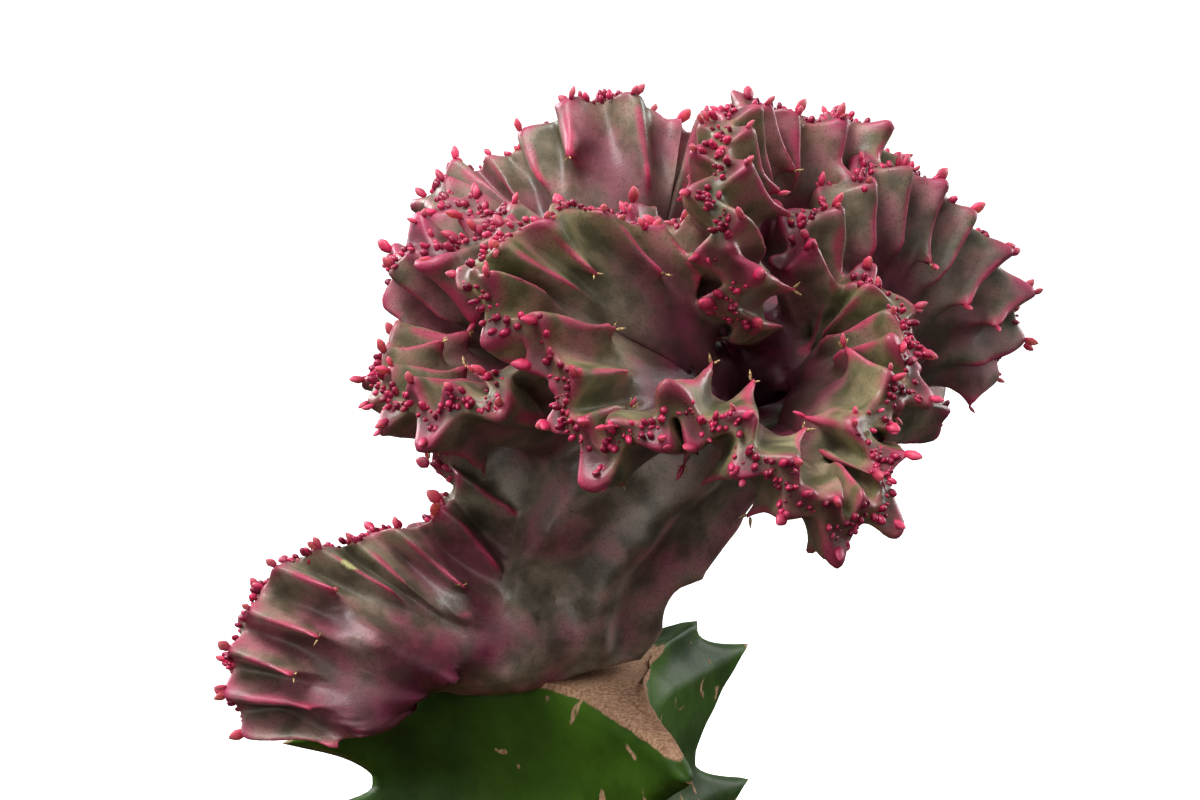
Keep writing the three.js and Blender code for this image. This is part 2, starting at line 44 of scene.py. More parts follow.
# The folds of the crest, each with the growth line along its rim and the feet from which its ribs fan
# out: across, up and depth away from the viewer, from a point at the middle of the head. Green is how
# green its faces are near the rim, and flush how much mauve lies over them. A fold may also have its own
# rib spacing, relief, flare towards the foot, drop of a second row of ribs, and teeth down its first edge.
VIEW_DISTANCE = 620
VIEW_SLOPE = math.radians(10)
VIEW_MIDDLE = np.array([3.75, 0, 215])
ACROSS = np.array([1, 0, 0])
AWAY = np.array([0, math.cos(VIEW_SLOPE), -math.sin(VIEW_SLOPE)])
UPWARD = np.array([0, math.sin(VIEW_SLOPE), math.cos(VIEW_SLOPE)])
FOLDS = {
    "lower_left": {
        "line": [
            (-50, -49.5, -6), (-54.5, -46, -8), (-55.5, -41, -10), (-54, -34.5, -11),
            (-50.5, -28, -11), (-45, -23.5, -9), (-38, -21.5, -7), (-32, -19.5, -6.5),
            (-26.5, -18.5, -5), (-22.5, -14.5, -3), (-23.5, -9, -3), (-27, -4, -3),
        ],
        "feet": [
            (-27, -44.5, -8), (-26, -44, -8), (-24, -43, -7), (-21, -41, -6), (-17, -38, -4),
            (-12, -34, -1), (-8, -27, 3), (-9, -8, 8),
        ],
        "spacing": 6.2,
        "green": 0.3,
        "flush": 0.55,
        "flare": 7,
        "second": 19,
        "relief": 1.6,
        "edge_teeth": [(14, 3.5)],
    },
    "left": {
        "line": [
            (-28, 9, 2), (-31.5, 7.5, -7), (-33.5, 4, -16), (-31.5, 0.5, -25), (-27.5, -1.5, -32),
            (-22.5, -1.5, -36), (-17.5, 1, -37), (-14, 4, -33), (-11.5, 7, -26),
        ],
        "feet": [(-10, 4, 4), (-9, -3, -4), (-6, -5, -8), (0, 0, -8)],
        "green": 0.6,
        "flush": 0.5,
    },
    "front": {
        "line": [
            (13, 28, -14), (10.5, 25.5, -22), (6.5, 25, -29), (2, 27.5, -33), (-4, 29, -36),
            (-10, 27, -38), (-16, 23.5, -40), (-19.5, 19, -42), (-17.5, 14.5, -44), (-12, 11, -45),
            (-8, 7, -45), (-6, 1.5, -46), (-4.5, -5, -49), (0.5, -8, -52), (5.5, -4.5, -54),
            (10, -1.5, -53), (15, -2.5, -52), (20, -5, -53), (24, -9.5, -55), (29, -14.5, -55),
            (35, -19, -52), (40.5, -17.5, -47), (43.5, -12.5, -43), (41, -7, -39), (41.5, -2, -35),
            (46, 1.5, -30), (46.5, 7.5, -24), (45.5, 13, -17), (40.5, 17.5, -12), (34, 17, -9),
        ],
        "feet": [
            (16, 9, -20), (14, 6, -24), (13, 3, -25), (14, 0, -24), (17, -3, -20), (22, -4, -14),
            (26, -2, -10), (28, 1, -6), (30, 3, 0),
        ],
        "green": 0.9,
        "flush": 0.4,
    },
    "right": {
        "line": [
            (27, 19, -13), (30, 26, -11), (35.5, 31, -6), (42, 35, 1), (48.5, 33, 9), (54, 28, 15),
            (59, 21.5, 21), (62, 14.5, 27), (60, 8, 34), (55, 4, 39),
        ],
        "feet": [(32, 6, 2), (35, 5, 6), (36, 4, 10), (34, 2, 14)],
        "green": 0.35,
        "flush": 0.65,
    },
    "crown": {
        "line": [
            (21, 8, -24), (19.5, 14, -30), (19, 20, -33), (17.5, 26, -35), (17.5, 32, -34),
            (18, 37.5, -29), (18.5, 41.5, -21), (20.5, 43.5, -12), (25, 44, -5), (31, 42, 0),
            (36.5, 42.5, 5), (41.5, 39, 11), (42, 35, 19),
        ],
        "feet": [(24, 8, -8), (22, 14, -8), (22, 20, -6), (24, 20, -2), (28, 18, 4), (30, 16, 10)],
        "green": 0.8,
        "flush": 0.45,
    },
    "inner": {
        "line": [
            (-13, 16, -24), (-13, 20, -17), (-9, 22, -12), (-3, 23, -13), (2, 24, -18), (6, 25, -14),
            (5, 26, -6), (1, 27, -1), (3, 28, 5), (9, 29, 6),
        ],
        "feet": [(4, 6, -4), (6, 5, -4), (8, 6, -2), (10, 7, 0)],
        "green": 0.4,
        "flush": 0.7,
    },
    "upper_left": {
        "line": [
            (-25, 8, 10), (-30, 13, 5), (-31.5, 19, 0), (-28.5, 23, -6), (-22.5, 23, -9),
            (-16.5, 25, -5), (-16, 28, 4), (-21, 29.5, 11), (-25, 31.5, 18), (-21, 34, 24),
            (-14, 36, 23), (-9, 40, 18), (-4.5, 43.5, 14), (1, 45.5, 13), (7, 43.5, 15),
            (11.5, 40, 17), (16.5, 41, 15), (21, 42.5, 11),
        ],
        "feet": [(-8, 6, 4), (-6, 8, 4), (-4, 10, 6), (0, 14, 10), (6, 16, 10), (10, 16, 12)],
        "green": 0.35,
        "flush": 0.7,
    },
    "back_crown": {
        "line": [
            (12, 34, 28), (6, 31, 35), (-1, 27, 40), (-6, 20, 42), (-3, 13, 45), (4, 13, 50),
            (10, 18, 52), (16, 23, 50), (23, 25, 48), (29, 21, 50), (35, 22, 47), (38, 28, 40),
            (40, 31, 31),
        ],
        "feet": [(10, 12, 8), (8, 10, 10), (10, 6, 14), (18, 4, 16), (22, 6, 14), (26, 10, 10)],
        "green": 0.6,
        "flush": 0.55,
    },
    "back_skirt": {
        "line": [
            (52, -3, 36), (50.5, -1, 44), (44, 3, 50), (37, 5, 54), (31, 0, 56), (25, -6, 56),
            (18, -6, 54), (13, 0, 54), (6, 2, 54), (0, -4, 52), (-6, -9, 47), (-13, -7, 42),
            (-17, -1, 38), (-22, 3, 33), (-27, 3, 25), (-30, 2, 16),
        ],
        "feet": [(30, 0, 10), (26, -3, 12), (20, -6, 14), (12, -6, 14), (4, -5, 12), (-4, -2, 8)],
        "green": 0.55,
        "flush": 0.6,
    },
}
# Ribs and teeth of the folds
RIB_SPACING = 8.6
RIB_HEIGHT = 1.8
RIB_SWAY = 1.4
RIB_EXTRA = 0.7
RIB_CURVE = 0.5
BEAD_STEP = 0.25
SECOND_SPACING = 6  # between the broad ribs of a second row, in half spacings of the ribs
TOOTH_DROP = 8.5
TOOTH_HEIGHT = 1.6
TOOTH_POINT = 2.3
COLUMNS = 11  # between one rib and the next one on the other face
ROWS = 27  # from the rim to the foot on one face
CREST_MARKS = ("ridge", "rim", "tip", "deep", "hollow", "groove", "green", "flush")
FOLD_MARKS = ("ridge", "rim", "tip", "deep", "hollow", "tooth", "groove")
KEPT = 0.565  # share of the triangles that each shell of the crest keeps before they are joined
FRESH = 0.004  # a corner this far from every known one was made by joining
CREASE_REACH = 2.6
CREASE_ROUNDS = 14
SHARP_MARKS = ("ridge", "rim", "tip", "groove")
SHARP_ROUNDS = 3
SOFT_ROUNDS = 40
ROOTED = {"bead": 1, "leaflet": 1.8, "tooth": 0.45}  # how near the skin a root lies, or it is left out
# The lip from the growth line's groove outwards, as (how far out, how far below the rim), between two
# ribs and at a rib's knob
LIP = [
    ((0, 1.2), (0, 0.9)), ((0.5, 0.9), (0.6, 0.3)), ((0.9, 0.5), (1.2, -0.9)),
    ((1.3, 0.35), (2, -2)), ((1.7, 0.5), (3, -2.5)), ((2.0, 0.8), (3.9, -2.1)),
]
FACE_ROWS = len(LIP) + ROWS
SCAR = (-37, -23.5, -12)  # the middle of an old pale scar below the lower left rim
# The middle of the head, and the trunk from the graft up into it
# a core's deep mark sets how much of the finish's maroon and its near-black painted shade it takes
CORES = [
    {"middle": (12, 5, 4), "radii": (23, 13, 15), "deep": 1, "flush": 0.8},
    {"middle": (13, 3, -12), "radii": (8.5, 7.5, 15), "deep": 1, "flush": 0.8},
    {"middle": (-17, -36, -1.5), "radii": (15.5, 9.5, 9), "deep": 0.35, "flush": 0.5},
]
TRUNK_RINGS = [
    (174.3, -2, 0, 12, 10, 0), (181, -2, 0, 12, 10, 0), (186.5, -1, 0, 12, 10.5, 1),
    (189, 0, 0, 13, 11, 6), (198, 3, 0, 15, 13, 5), (206, 9, 1, 19, 15, 1), (214, 14, 2, 21, 15, 0),
]
TRUNK_RIBS = 7
# Rootstock
STOCK = {
    "foot": 62, "stub": 13, "shoulder": 124, "top": 174, "cut": 13.5, "wing": 31, "valley": 11.5,
    "slope": 26,
}
WINGS = [
    {"turn": 180, "first_tooth": 171, "fall": 0.3},
    {"turn": 292, "first_tooth": 172, "fall": 0.16},
    {"turn": 52, "first_tooth": 167, "fall": -0.08},
]
TEETH = {"step": 20, "reach": 14, "slope": 0.62, "rise": 0.28}
WING_OUTLINE = [(0.42, 5, 0.78), (0.68, 2.8, 0.5), (0.9, 1.7, 0.25)]
# Light: the sky's strength at the level and what is added overhead, and lamps in metres and watts
SKY = {"level": 0.05, "top": 0.85}
LAMPS = {
    "overhead": ((-0.45, -0.3, 1.25), 0.6, 17),
    "back_left": ((-0.8, 0.7, 0.6), 0.5, 11),
    "back_right": ((0.9, 0.55, 0.5), 0.5, 8),
    "front": ((-0.5, -1.0, 0.4), 0.6, 2.2),
}
# Pot and soil
POT = {"height": 108, "rim": 65, "foot": 46, "wall": 5.5, "floor": 8, "band": 20, "step": 4}
SOIL_TOP = 97
CRUMBS = 520
MERGE = 1e-5  # metres
FINE_MERGE = 1e-6
# Floor and camera
FLOOR_SIZE = 8
SHADOW_SHOWS = (0.12, 0.4)  # metres: the floor fades to white beyond the pot's shadow
LENS = 124


# Numbers


def chance(count, salt):
    """Numbers between 0 and 1 that are always the same for the same count and salt."""
    value = np.sin(np.asarray(count, float) * 12.9898 + salt * 78.233) * 43758.5453
    return value - np.floor(value)


def between(low, high, count, salt):
    return low + (high - low) * chance(count, salt)


def smooth(value, low=0.0, high=1.0):
    share = np.clip((value - low) / (high - low), 0, 1)
    return share * share * (3 - 2 * share)


def lumps(points, size, salt):
    """Gentle unevenness between -1 and 1, with lumps of about that size."""
    turned = points / size
    total = np.zeros(points.shape[:-1])
    for k in range(3):
        a, b, c = (chance([k, k + 7, k + 19], salt) - 0.5) * 5
        phase = 6.28 * chance(k + 31, salt)
        total += np.sin(turned[..., 0] * a + turned[..., 1] * b + turned[..., 2] * c + phase)
    return total / 3


def unit(vectors):
    return vectors / np.maximum(np.linalg.norm(vectors, axis=-1, keepdims=True), SHARE)


def from_view(points):
    points = np.asarray(points, float)
    spread = (VIEW_DISTANCE + points[:, 2:3]) / VIEW_DISTANCE
    flat = points[:, 0:1] * spread * ACROSS + points[:, 1:2] * spread * UPWARD
    return VIEW_MIDDLE + points[:, 2:3] * AWAY + flat


def curve_at(points, share):
    """Points on the centripetal curve through the given ones, at shares of its run."""
    ends = [2 * points[0] - points[1], *points, 2 * points[-1] - points[-2]]
    ends = np.array(ends)
    place = np.clip(np.asarray(share), 0, 1) * (len(points) - 1)
    first = np.minimum(place.astype(int), len(points) - 2)
    weight = (place - first)[:, None]
    p0, p1, p2, p3 = (ends[first + k] for k in range(4))
    d0, d1, d2 = (
        np.sqrt(np.linalg.norm(b - a, axis=1, keepdims=True))
        for a, b in ((p0, p1), (p1, p2), (p2, p3))
    )
    out = ((p1 - p0) / d0 - (p2 - p0) / (d0 + d1) + (p2 - p1) / d1) * d1
    home = ((p2 - p1) / d1 - (p3 - p1) / (d1 + d2) + (p3 - p2) / d2) * d1
    c2 = -3 * p1 + 3 * p2 - 2 * out - home
    c3 = 2 * p1 - 2 * p2 + out + home
    return p1 + out * weight + c2 * weight**2 + c3 * weight**3


def even_shares(points, share, divisions=1600):
    """The shares of the run at which the curve has gone given shares of its length, and its length."""
    run = np.linspace(0, 1, divisions + 1)
    steps = np.linalg.norm(np.diff(curve_at(points, run), axis=0), axis=1)
    gone = np.concatenate([[0], np.cumsum(steps)])
    return np.interp(share, gone / gone[-1], run), gone[-1]


# Meshes


def deselect():
    for other in bpy.context.selected_objects:
        other.select_set(False)


def mesh_object(name, points, faces):
    """A piece from its corner points in millimetres."""
    mesh = bpy.data.meshes.new(name)
    mesh.from_pydata((np.asarray(points) * MM).tolist(), [], faces)
    mesh.validate()
    piece = bpy.data.objects.new(name, mesh)
    bpy.context.scene.collection.objects.link(piece)
    return piece


def select_only(piece):
    deselect()
    piece.select_set(True)
    bpy.context.view_layer.objects.active = piece


def edit(piece, *steps):
    """Runs mesh operators on all of a piece."""
    select_only(piece)
    bpy.ops.object.mode_set(mode="EDIT")
    bpy.ops.mesh.select_all(action="SELECT")
    for step, settings in steps:
        step(**settings)
    bpy.ops.object.mode_set(mode="OBJECT")


def closed_and_smooth(piece, merge=MERGE):
    edit(
        piece,
        (bpy.ops.mesh.remove_doubles, {"threshold": merge}),
        (bpy.ops.mesh.normals_make_consistent, {"inside": False}),
    )
    bpy.ops.object.shade_smooth()
    return piece


def write_attribute(piece, name, values):
    attribute = piece.data.attributes.new(name, "FLOAT", "POINT")
    attribute.data.foreach_set("value", np.asarray(values, np.float32).ravel())


def tube_faces(columns, rows, start=0):
    """Faces over a grid of points laid out column by column, each column a closed ring, with end caps."""
    faces = []
    for i in range(columns - 1):
        for k in range(rows):
            a = start + i * rows + k
            b = start + i * rows + (k + 1) % rows
            faces.append((a, b, b + rows, a + rows))
    faces.append([start + k for k in range(rows)][::-1])
    faces.append([start + (columns - 1) * rows + k for k in range(rows)])
    return faces


def turned_faces(columns, rows):
    """Faces over columns of points that go all the way round, with a cap at each end."""
    faces = []
    for i in range(columns):
        for k in range(rows - 1):
            a = i * rows + k
            b = ((i + 1) % columns) * rows + k
            faces.append((a, b, b + 1, a + 1))
    faces.append([i * rows for i in range(columns)][::-1])
    faces.append([i * rows + rows - 1 for i in range(columns)])
    return faces


def tree_of(points):
    """A tree that finds the nearest of some points."""
    tree = kdtree.KDTree(len(points))
    for i, point in enumerate(points):
        tree.insert(point, i)
    tree.balance()
    return tree


def finish_piece(piece, material, slot, *nodes):
    piece.data.materials.clear()
    piece.data.materials.append(material)
    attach(piece, "root")
    if nodes:
        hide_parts(*nodes)
    return piece


# Shader maths


class Value:
    """A socket, or a number, that Python's own operators work on by adding Math nodes."""

    def __init__(self, tree, socket):
        self.tree = tree
        self.socket = socket

    def node(self, kind, settings=(), output=0, **inputs):
        return add_node(self.tree, kind, settings, output, **inputs)

    def maths(self, operation, other):
        return self.node("ShaderNodeMath", {"operation": operation}, **{"0": self, "1": other})

    def __add__(self, other):
        return self.maths("ADD", other)

    def __sub__(self, other):
        return self.maths("SUBTRACT", other)

    def __mul__(self, other):
        return self.maths("MULTIPLY", other)

    def __rsub__(self, other):
        return self.node("ShaderNodeMath", {"operation": "SUBTRACT"}, **{"0": other, "1": self})

    __radd__ = __add__
    __rmul__ = __mul__

    def clamped(self):
        return self.node("ShaderNodeClamp", (), Value=self)

    def between(self, low, high):
        """0 below low, 1 above high, and smooth in the middle."""
        return self.node(
            "ShaderNodeMapRange",
            {"interpolation_type": "SMOOTHSTEP"},
            **{"Value": self, "From Min": low, "From Max": high},
        )


def add_node(tree, kind, settings=(), output=0, **inputs):
    """Adds any node: its settings first, then the values or links of its sockets."""
    node = tree.nodes.new(kind)
    for name, value in dict(settings).items():
        setattr(node, name, value)
    for name, value in inputs.items():
        socket = node.inputs[int(name)] if name.isdigit() else node.inputs[name]
        if isinstance(value, Value):
            tree.links.new(value.socket, socket)
        else:
            socket.default_value = value
    return Value(tree, node.outputs[output])


class Finish:
    """A material under way: its tree, its shader and the patterns it is mixed from."""

    def __init__(self, name, **constants):
        self.material = bpy.data.materials.new(name)
        self.material.use_nodes = True
        self.tree = self.material.node_tree
        self.shader = self.tree.nodes["Principled BSDF"]
        for socket, value in constants.items():
            self.shader.inputs[socket.replace("_", " ")].default_value = value
        coordinates = self.tree.nodes.new("ShaderNodeTexCoord")
        self.place = Value(self.tree, coordinates.outputs["Object"])

    def noise(self, size_mm, detail=3.0, roughness=0.55, distortion=0.0):
        return add_node(
            self.tree,
            "ShaderNodeTexNoise",
            (),
            Vector=self.place,
            Scale=1 / (size_mm * MM),
            Detail=detail,
            Roughness=roughness,
            Distortion=distortion,
        )

    def cells(self, size_mm):
        return add_node(
            self.tree, "ShaderNodeTexVoronoi", (), Vector=self.place, Scale=1 / (size_mm * MM)
        )

    def distance_from(self, point):
        settings = {"operation": "DISTANCE"}
        return add_node(
            self.tree, "ShaderNodeVectorMath", settings, 1, **{"0": self.place, "1": tuple(point)}
        )

    def attribute(self, name):
        return add_node(self.tree, "ShaderNodeAttribute", {"attribute_name": name}, output=2)

    def mixed(self, share, first, second):
        """A colour between two colours, each a socket or three numbers."""
        node = self.tree.nodes.new("ShaderNodeMix")
        node.data_type = "RGBA"
        sockets = [s for s in node.inputs if s.type == "RGBA"]
        factor = node.inputs["Factor"]
        for socket, value in ((factor, share), (sockets[0], first), (sockets[1], second)):
            if isinstance(value, Value):
                self.tree.links.new(value.socket, socket)
            elif socket is factor:
                socket.default_value = value
            else:
                socket.default_value = (*value, 1)
        return Value(self.tree, [s for s in node.outputs if s.type == "RGBA"][0])

    def feed(self, socket, value):
        self.tree.links.new(value.socket, self.shader.inputs[socket])

    def bump(self, height, depth_mm, strength=1.0):
        node = add_node(
            self.tree, "ShaderNodeBump", (), Height=height, Distance=depth_mm * MM, Strength=strength
        )
        self.feed("Normal", node)


def linear(red, green, blue):
    """A colour as light, from its shares on a screen."""
    return tuple(
        c / 12.92 if c <= 0.04045 else ((c + 0.055) / 1.055) ** 2.4
        for c in (red / 255, green / 255, blue / 255)
    )


# Materials


def crest_finish():
    """Waxy grey-green skin, flushed mauve towards the base, with pink ridges, and painted shade that
    darkens the valleys between the ribs and turns the deepest middle of the head near black.
    """
    skin = Finish("waxy_crest_skin", Specular_IOR_Level=0.55, IOR=1.42)
    ridge, rim, tip, deep, hollow, groove, green, flush = map(skin.attribute, CREST_MARKS)
    cloud = skin.noise(9, detail=2)
    mottle = skin.noise(4.5, detail=2, roughness=0.45)
    speckle = skin.noise(0.36, detail=1, roughness=0.6)
    grey_green = skin.mixed(mottle.between(0.3, 0.7), linear(90, 82, 68), linear(150, 138, 120))
    bright_green = skin.mixed(mottle.between(0.35, 0.7), linear(82, 88, 38), linear(140, 138, 80))
    faces = skin.mixed((green * (1 - deep * 1.3) * cloud * 1.6).clamped(), grey_green, bright_green)
    mauve = skin.mixed(mottle.between(0.3, 0.75), linear(116, 40, 66), linear(170, 96, 112))
    maroon = skin.mixed(mottle.between(0.3, 0.7), linear(58, 6, 26), linear(98, 18, 50))
    mauve_share = (flush * 0.62 + (cloud - 0.5) * 1.9 + deep * 0.3).between(0.12, 0.8)
    faces = skin.mixed(mauve_share * 0.85, faces, mauve)
    # maroon deeper into the head: partly the skin's own flush, partly painted shade
    faces = skin.mixed((deep - 0.28 + (cloud - 0.5) * 0.6).between(0, 0.5) * 0.9, faces, maroon)
    # painted shade: the valleys between the ribs darken by their mark, to a dark olive on green folds and a
    # dark maroon on flushed ones
    shaded = skin.mixed(flush, linear(48, 44, 32), linear(70, 18, 42))
    faces = skin.mixed((hollow * (0.5 + cloud)).between(0.3, 1.05) * 0.62, faces, shaded)
    # painted shade: the deepest middle of the head and the feet of the folds go near black
    faces = skin.mixed(deep.between(0.75, 1) * 0.75, faces, linear(24, 6, 14))
    ridge_share = (ridge * (0.5 + mottle * 0.7)).between(0.3, 0.8)
    faces = skin.mixed(ridge_share * 0.82, faces, linear(186, 52, 94))
    # the lip darkens with painted shade too where it runs into the valleys
    lip = skin.mixed(hollow, linear(164, 34, 82), linear(98, 6, 42))
    lip = skin.mixed(groove.between(0.1, 0.85) * 0.9, lip, linear(72, 2, 30))
    faces = skin.mixed((rim * (0.2 + cloud * 1.3)).between(0.22, 0.8) * 0.82, faces, lip)
    faces = skin.mixed((tip * (0.6 + mottle * 0.6)).between(0.3, 0.8) * 0.8, faces, linear(206, 58, 96))
    scar = skin.noise(1.5) * 1.6 - skin.distance_from(from_view([SCAR])[0] * MM) * 1000
    faces = skin.mixed((scar + 1.3).between(0, 0.5), faces, linear(196, 192, 132))
    dots = speckle.between(0.56, 0.66)
    faces = skin.mixed(dots * 0.35, faces, linear(56, 30, 34))
    skin.feed("Base Color", faces)
    skin.feed("Roughness", 0.3 + mottle * 0.2)
    skin.bump(speckle * 0.5 + skin.noise(1.6, detail=2) * 0.7, 0.12, 0.5)
    return skin.material


def growth_finish():
    """The growth line's dark magenta skin, brighter on what stands out from it."""
    skin = Finish("magenta_growth", Specular_IOR_Level=0.5)
    bright = skin.attribute("bright")
    mottle = skin.noise(0.9, detail=3)
    dark = skin.mixed(mottle.between(0.3, 0.7), linear(92, 6, 36), linear(140, 18, 58))
    light = skin.mixed(mottle.between(0.3, 0.75), linear(190, 20, 74), linear(226, 60, 108))
    skin.feed("Base Color", skin.mixed(bright.clamped(), dark, light))
    skin.feed("Roughness", 0.26 + mottle * 0.2)
    skin.bump(mottle, 0.1, 0.5)
    return skin.material


def leaflet_finish():
    """Hot pink, some of them darker, and paler at their tips."""
    skin = Finish("pink_leaflets", Specular_IOR_Level=0.4, Subsurface_Weight=0.15)
    tip = skin.attribute("tip")
    mottle = skin.noise(0.8, detail=3)
    shade = skin.noise(4.5, detail=2)
    colour = skin.mixed(mottle.between(0.3, 0.7), linear(190, 8, 64), linear(230, 40, 96))
    colour = skin.mixed(shade.between(0.4, 0.65), linear(142, 12, 54), colour)
    colour = skin.mixed(tip * 0.4, colour, linear(236, 92, 124))
    skin.feed("Base Color", colour)
    skin.feed("Roughness", 0.4 + mottle * 0.15)
    skin.bump(mottle, 0.08, 0.4)
    return skin.material


def spine_finish():
    """Dry and tan, with darker flecks."""
    skin = Finish("dried_spine_tips", Specular_IOR_Level=0.3)
    mottle = skin.noise(0.35, detail=4, roughness=0.65)
    tan = skin.mixed(mottle.between(0.4, 0.6), linear(214, 186, 132), linear(120, 84, 52))
    skin.feed("Base Color", tan)
    skin.feed("Roughness", 0.65 + mottle * 0.2)
    skin.bump(mottle, 0.15, 0.8)
    return skin.material


def stock_finish():
    """Waxy dark green skin, lighter along the stem, with tan scars and dried edges."""
    skin = Finish("waxy_green_stem", Specular_IOR_Level=0.2, IOR=1.45)
    stem, dried, edge = (skin.attribute(name) for name in ("stem", "dried", "edge"))
    cloud = skin.noise(16, detail=3, roughness=0.6)
    mottle = skin.noise(3.2, detail=4, roughness=0.6)
    grain = skin.noise(0.6, detail=3, roughness=0.7)
    green = skin.mixed(cloud.between(0.3, 0.7), linear(30, 54, 8), linear(60, 94, 20))
    green = skin.mixed((stem * (0.4 + cloud)).clamped() * 0.5, green, linear(70, 106, 28))
    green = skin.mixed(mottle.between(0.5, 0.75) * 0.25, green, linear(20, 34, 10))
    scar_cells = skin.noise(5.5, detail=2, roughness=0.4, distortion=0.8)
    scars = scar_cells.between(0.69, 0.72)
    tan = skin.mixed(grain.between(0.35, 0.65), linear(150, 112, 84), linear(196, 160, 128))
    brown = skin.mixed(grain.between(0.35, 0.65), linear(116, 84, 64), linear(168, 130, 104))
    colour = skin.mixed(scars, green, tan)
    colour = skin.mixed((edge + (mottle - 0.5) * 0.8).between(0.6, 0.8), colour, tan)
    top = (dried + (mottle - 0.5) * 0.5).between(0.4, 0.6)
    colour = skin.mixed(top, colour, skin.mixed(cloud.between(0.35, 0.65), brown, tan))
    skin.feed("Base Color", colour)
    rough = (scars + top).clamped()
    skin.feed("Roughness", 0.46 + mottle * 0.16 + rough * 0.35)
    skin.bump(mottle * 0.6 + grain * 0.3 * (rough + 0.25), 0.35, 0.7)
    return skin.material


def soil_finish():
    """Dark, with paler grains."""
    earth = Finish("bark_and_peat", Specular_IOR_Level=0.25)
    lump = earth.noise(3.5, detail=4)
    grain = earth.noise(0.8, detail=4, roughness=0.7)
    colour = earth.mixed(lump.between(0.3, 0.7), linear(38, 26, 20), linear(84, 62, 46))
    colour = earth.mixed(grain.between(0.55, 0.75) * 0.6, colour, linear(132, 104, 78))
    earth.feed("Base Color", colour)
    earth.feed("Roughness", 0.82 + grain * 0.16)
    earth.bump(grain + lump * 0.6, 0.5, 0.9)
    return earth.material


def clay_finish():
    """Plain fired clay: warm, slightly mottled and fine-pored, with a faint pale bloom."""
    clay = Finish("plain_fired_clay", Specular_IOR_Level=0.3)
    cloud = clay.noise(26, detail=4, roughness=0.6)
    grain = clay.noise(0.7, detail=4, roughness=0.7)
    pores = clay.cells(1.6)
    rows = add_node(
        clay.tree,
        "ShaderNodeTexWave",
        {"wave_type": "BANDS", "bands_direction": "Z"},
        Vector=clay.place,
        Scale=130.0,
        Distortion=1.2,
        Detail=2.0,
    )
    colour = clay.mixed(cloud.between(0.3, 0.7), linear(168, 96, 64), linear(198, 126, 90))
    bloom = (cloud * 0.6 + grain * 0.5).between(0.58, 0.74)
    colour = clay.mixed(bloom * 0.35, colour, linear(222, 186, 160))
    colour = clay.mixed(grain.between(0.6, 0.72) * 0.3, colour, linear(124, 66, 44))
    clay.feed("Base Color", colour)
    clay.feed("Roughness", 0.74 + grain * 0.2)
    pits = pores.between(0.02, 0.2)
    clay.bump(grain * 0.5 + pits * 0.5 + rows * 0.12, 0.22, 0.8)
    return clay.material


# Crest


def nearest_rib(count, side, last):
    """The rib of a face that is nearest to each column, how far off it is, 1 at mid-valley, and on
    which side."""
    first = 1 if side > 0 else 0
    rib = np.clip(2 * np.round((count - first) / 2) + first, first, last)
    way = np.clip(count - rib, -1, 1)
    way = way - 0.25 * between(-1, 1, rib, last + side) * (1 - way**2)
    return rib, np.abs(way), way


def fold_columns(fold, salt):
    """Where a fold's rim and foot are, column by column, and which way its face looks."""
    line, feet = from_view(fold["line"]), from_view(fold["feet"])
    length = even_shares(line, [0])[1]
    last = 2 * round(length / fold.get("spacing", RIB_SPACING))
    count = np.linspace(0, last, last * COLUMNS + 1)
    rim = curve_at(line, even_shares(line, count / last)[0])
    foot = curve_at(feet, count / last)
    rise = rim - foot
    reach = np.linalg.norm(rise, axis=1)
    rise = unit(rise)
    face = unit(np.cross(np.gradient(rim, axis=0), rise))
    inner = smooth(np.minimum(count, last - count), 0, 1)
    sway = -face * (RIB_SWAY * np.cos(math.pi * count) * inner)[:, None]
    along = unit(np.gradient(rim, axis=0))
    return {
        "count": count, "last": last, "rim": rim + sway, "middle": rim, "sway": sway, "foot": foot,
        "rise": rise, "face": face, "along": along, "reach": reach, "salt": salt,
        "spacing": length / last,
    }


def room_inside(columns, drop):
    """How thick a fold may be on the inner side of its bends, at a drop below the rim."""
    level = columns["middle"] - columns["rise"] * np.minimum(drop, columns["reach"])[:, None]
    back = np.concatenate([level[:COLUMNS], level[:-COLUMNS]])
    ahead = np.concatenate([level[COLUMNS:], level[-COLUMNS:]])
    step = np.maximum(np.linalg.norm(ahead - back, axis=1) / 2, 0.3)
    bend = np.sum((back + ahead - 2 * level) * columns["face"], axis=1) / step**2
    room = {}
    for side in (1, -1):
        towards = np.maximum(bend * side, 1e-4)
        room[side] = np.maximum(0.6, 0.7 / towards)
    return room


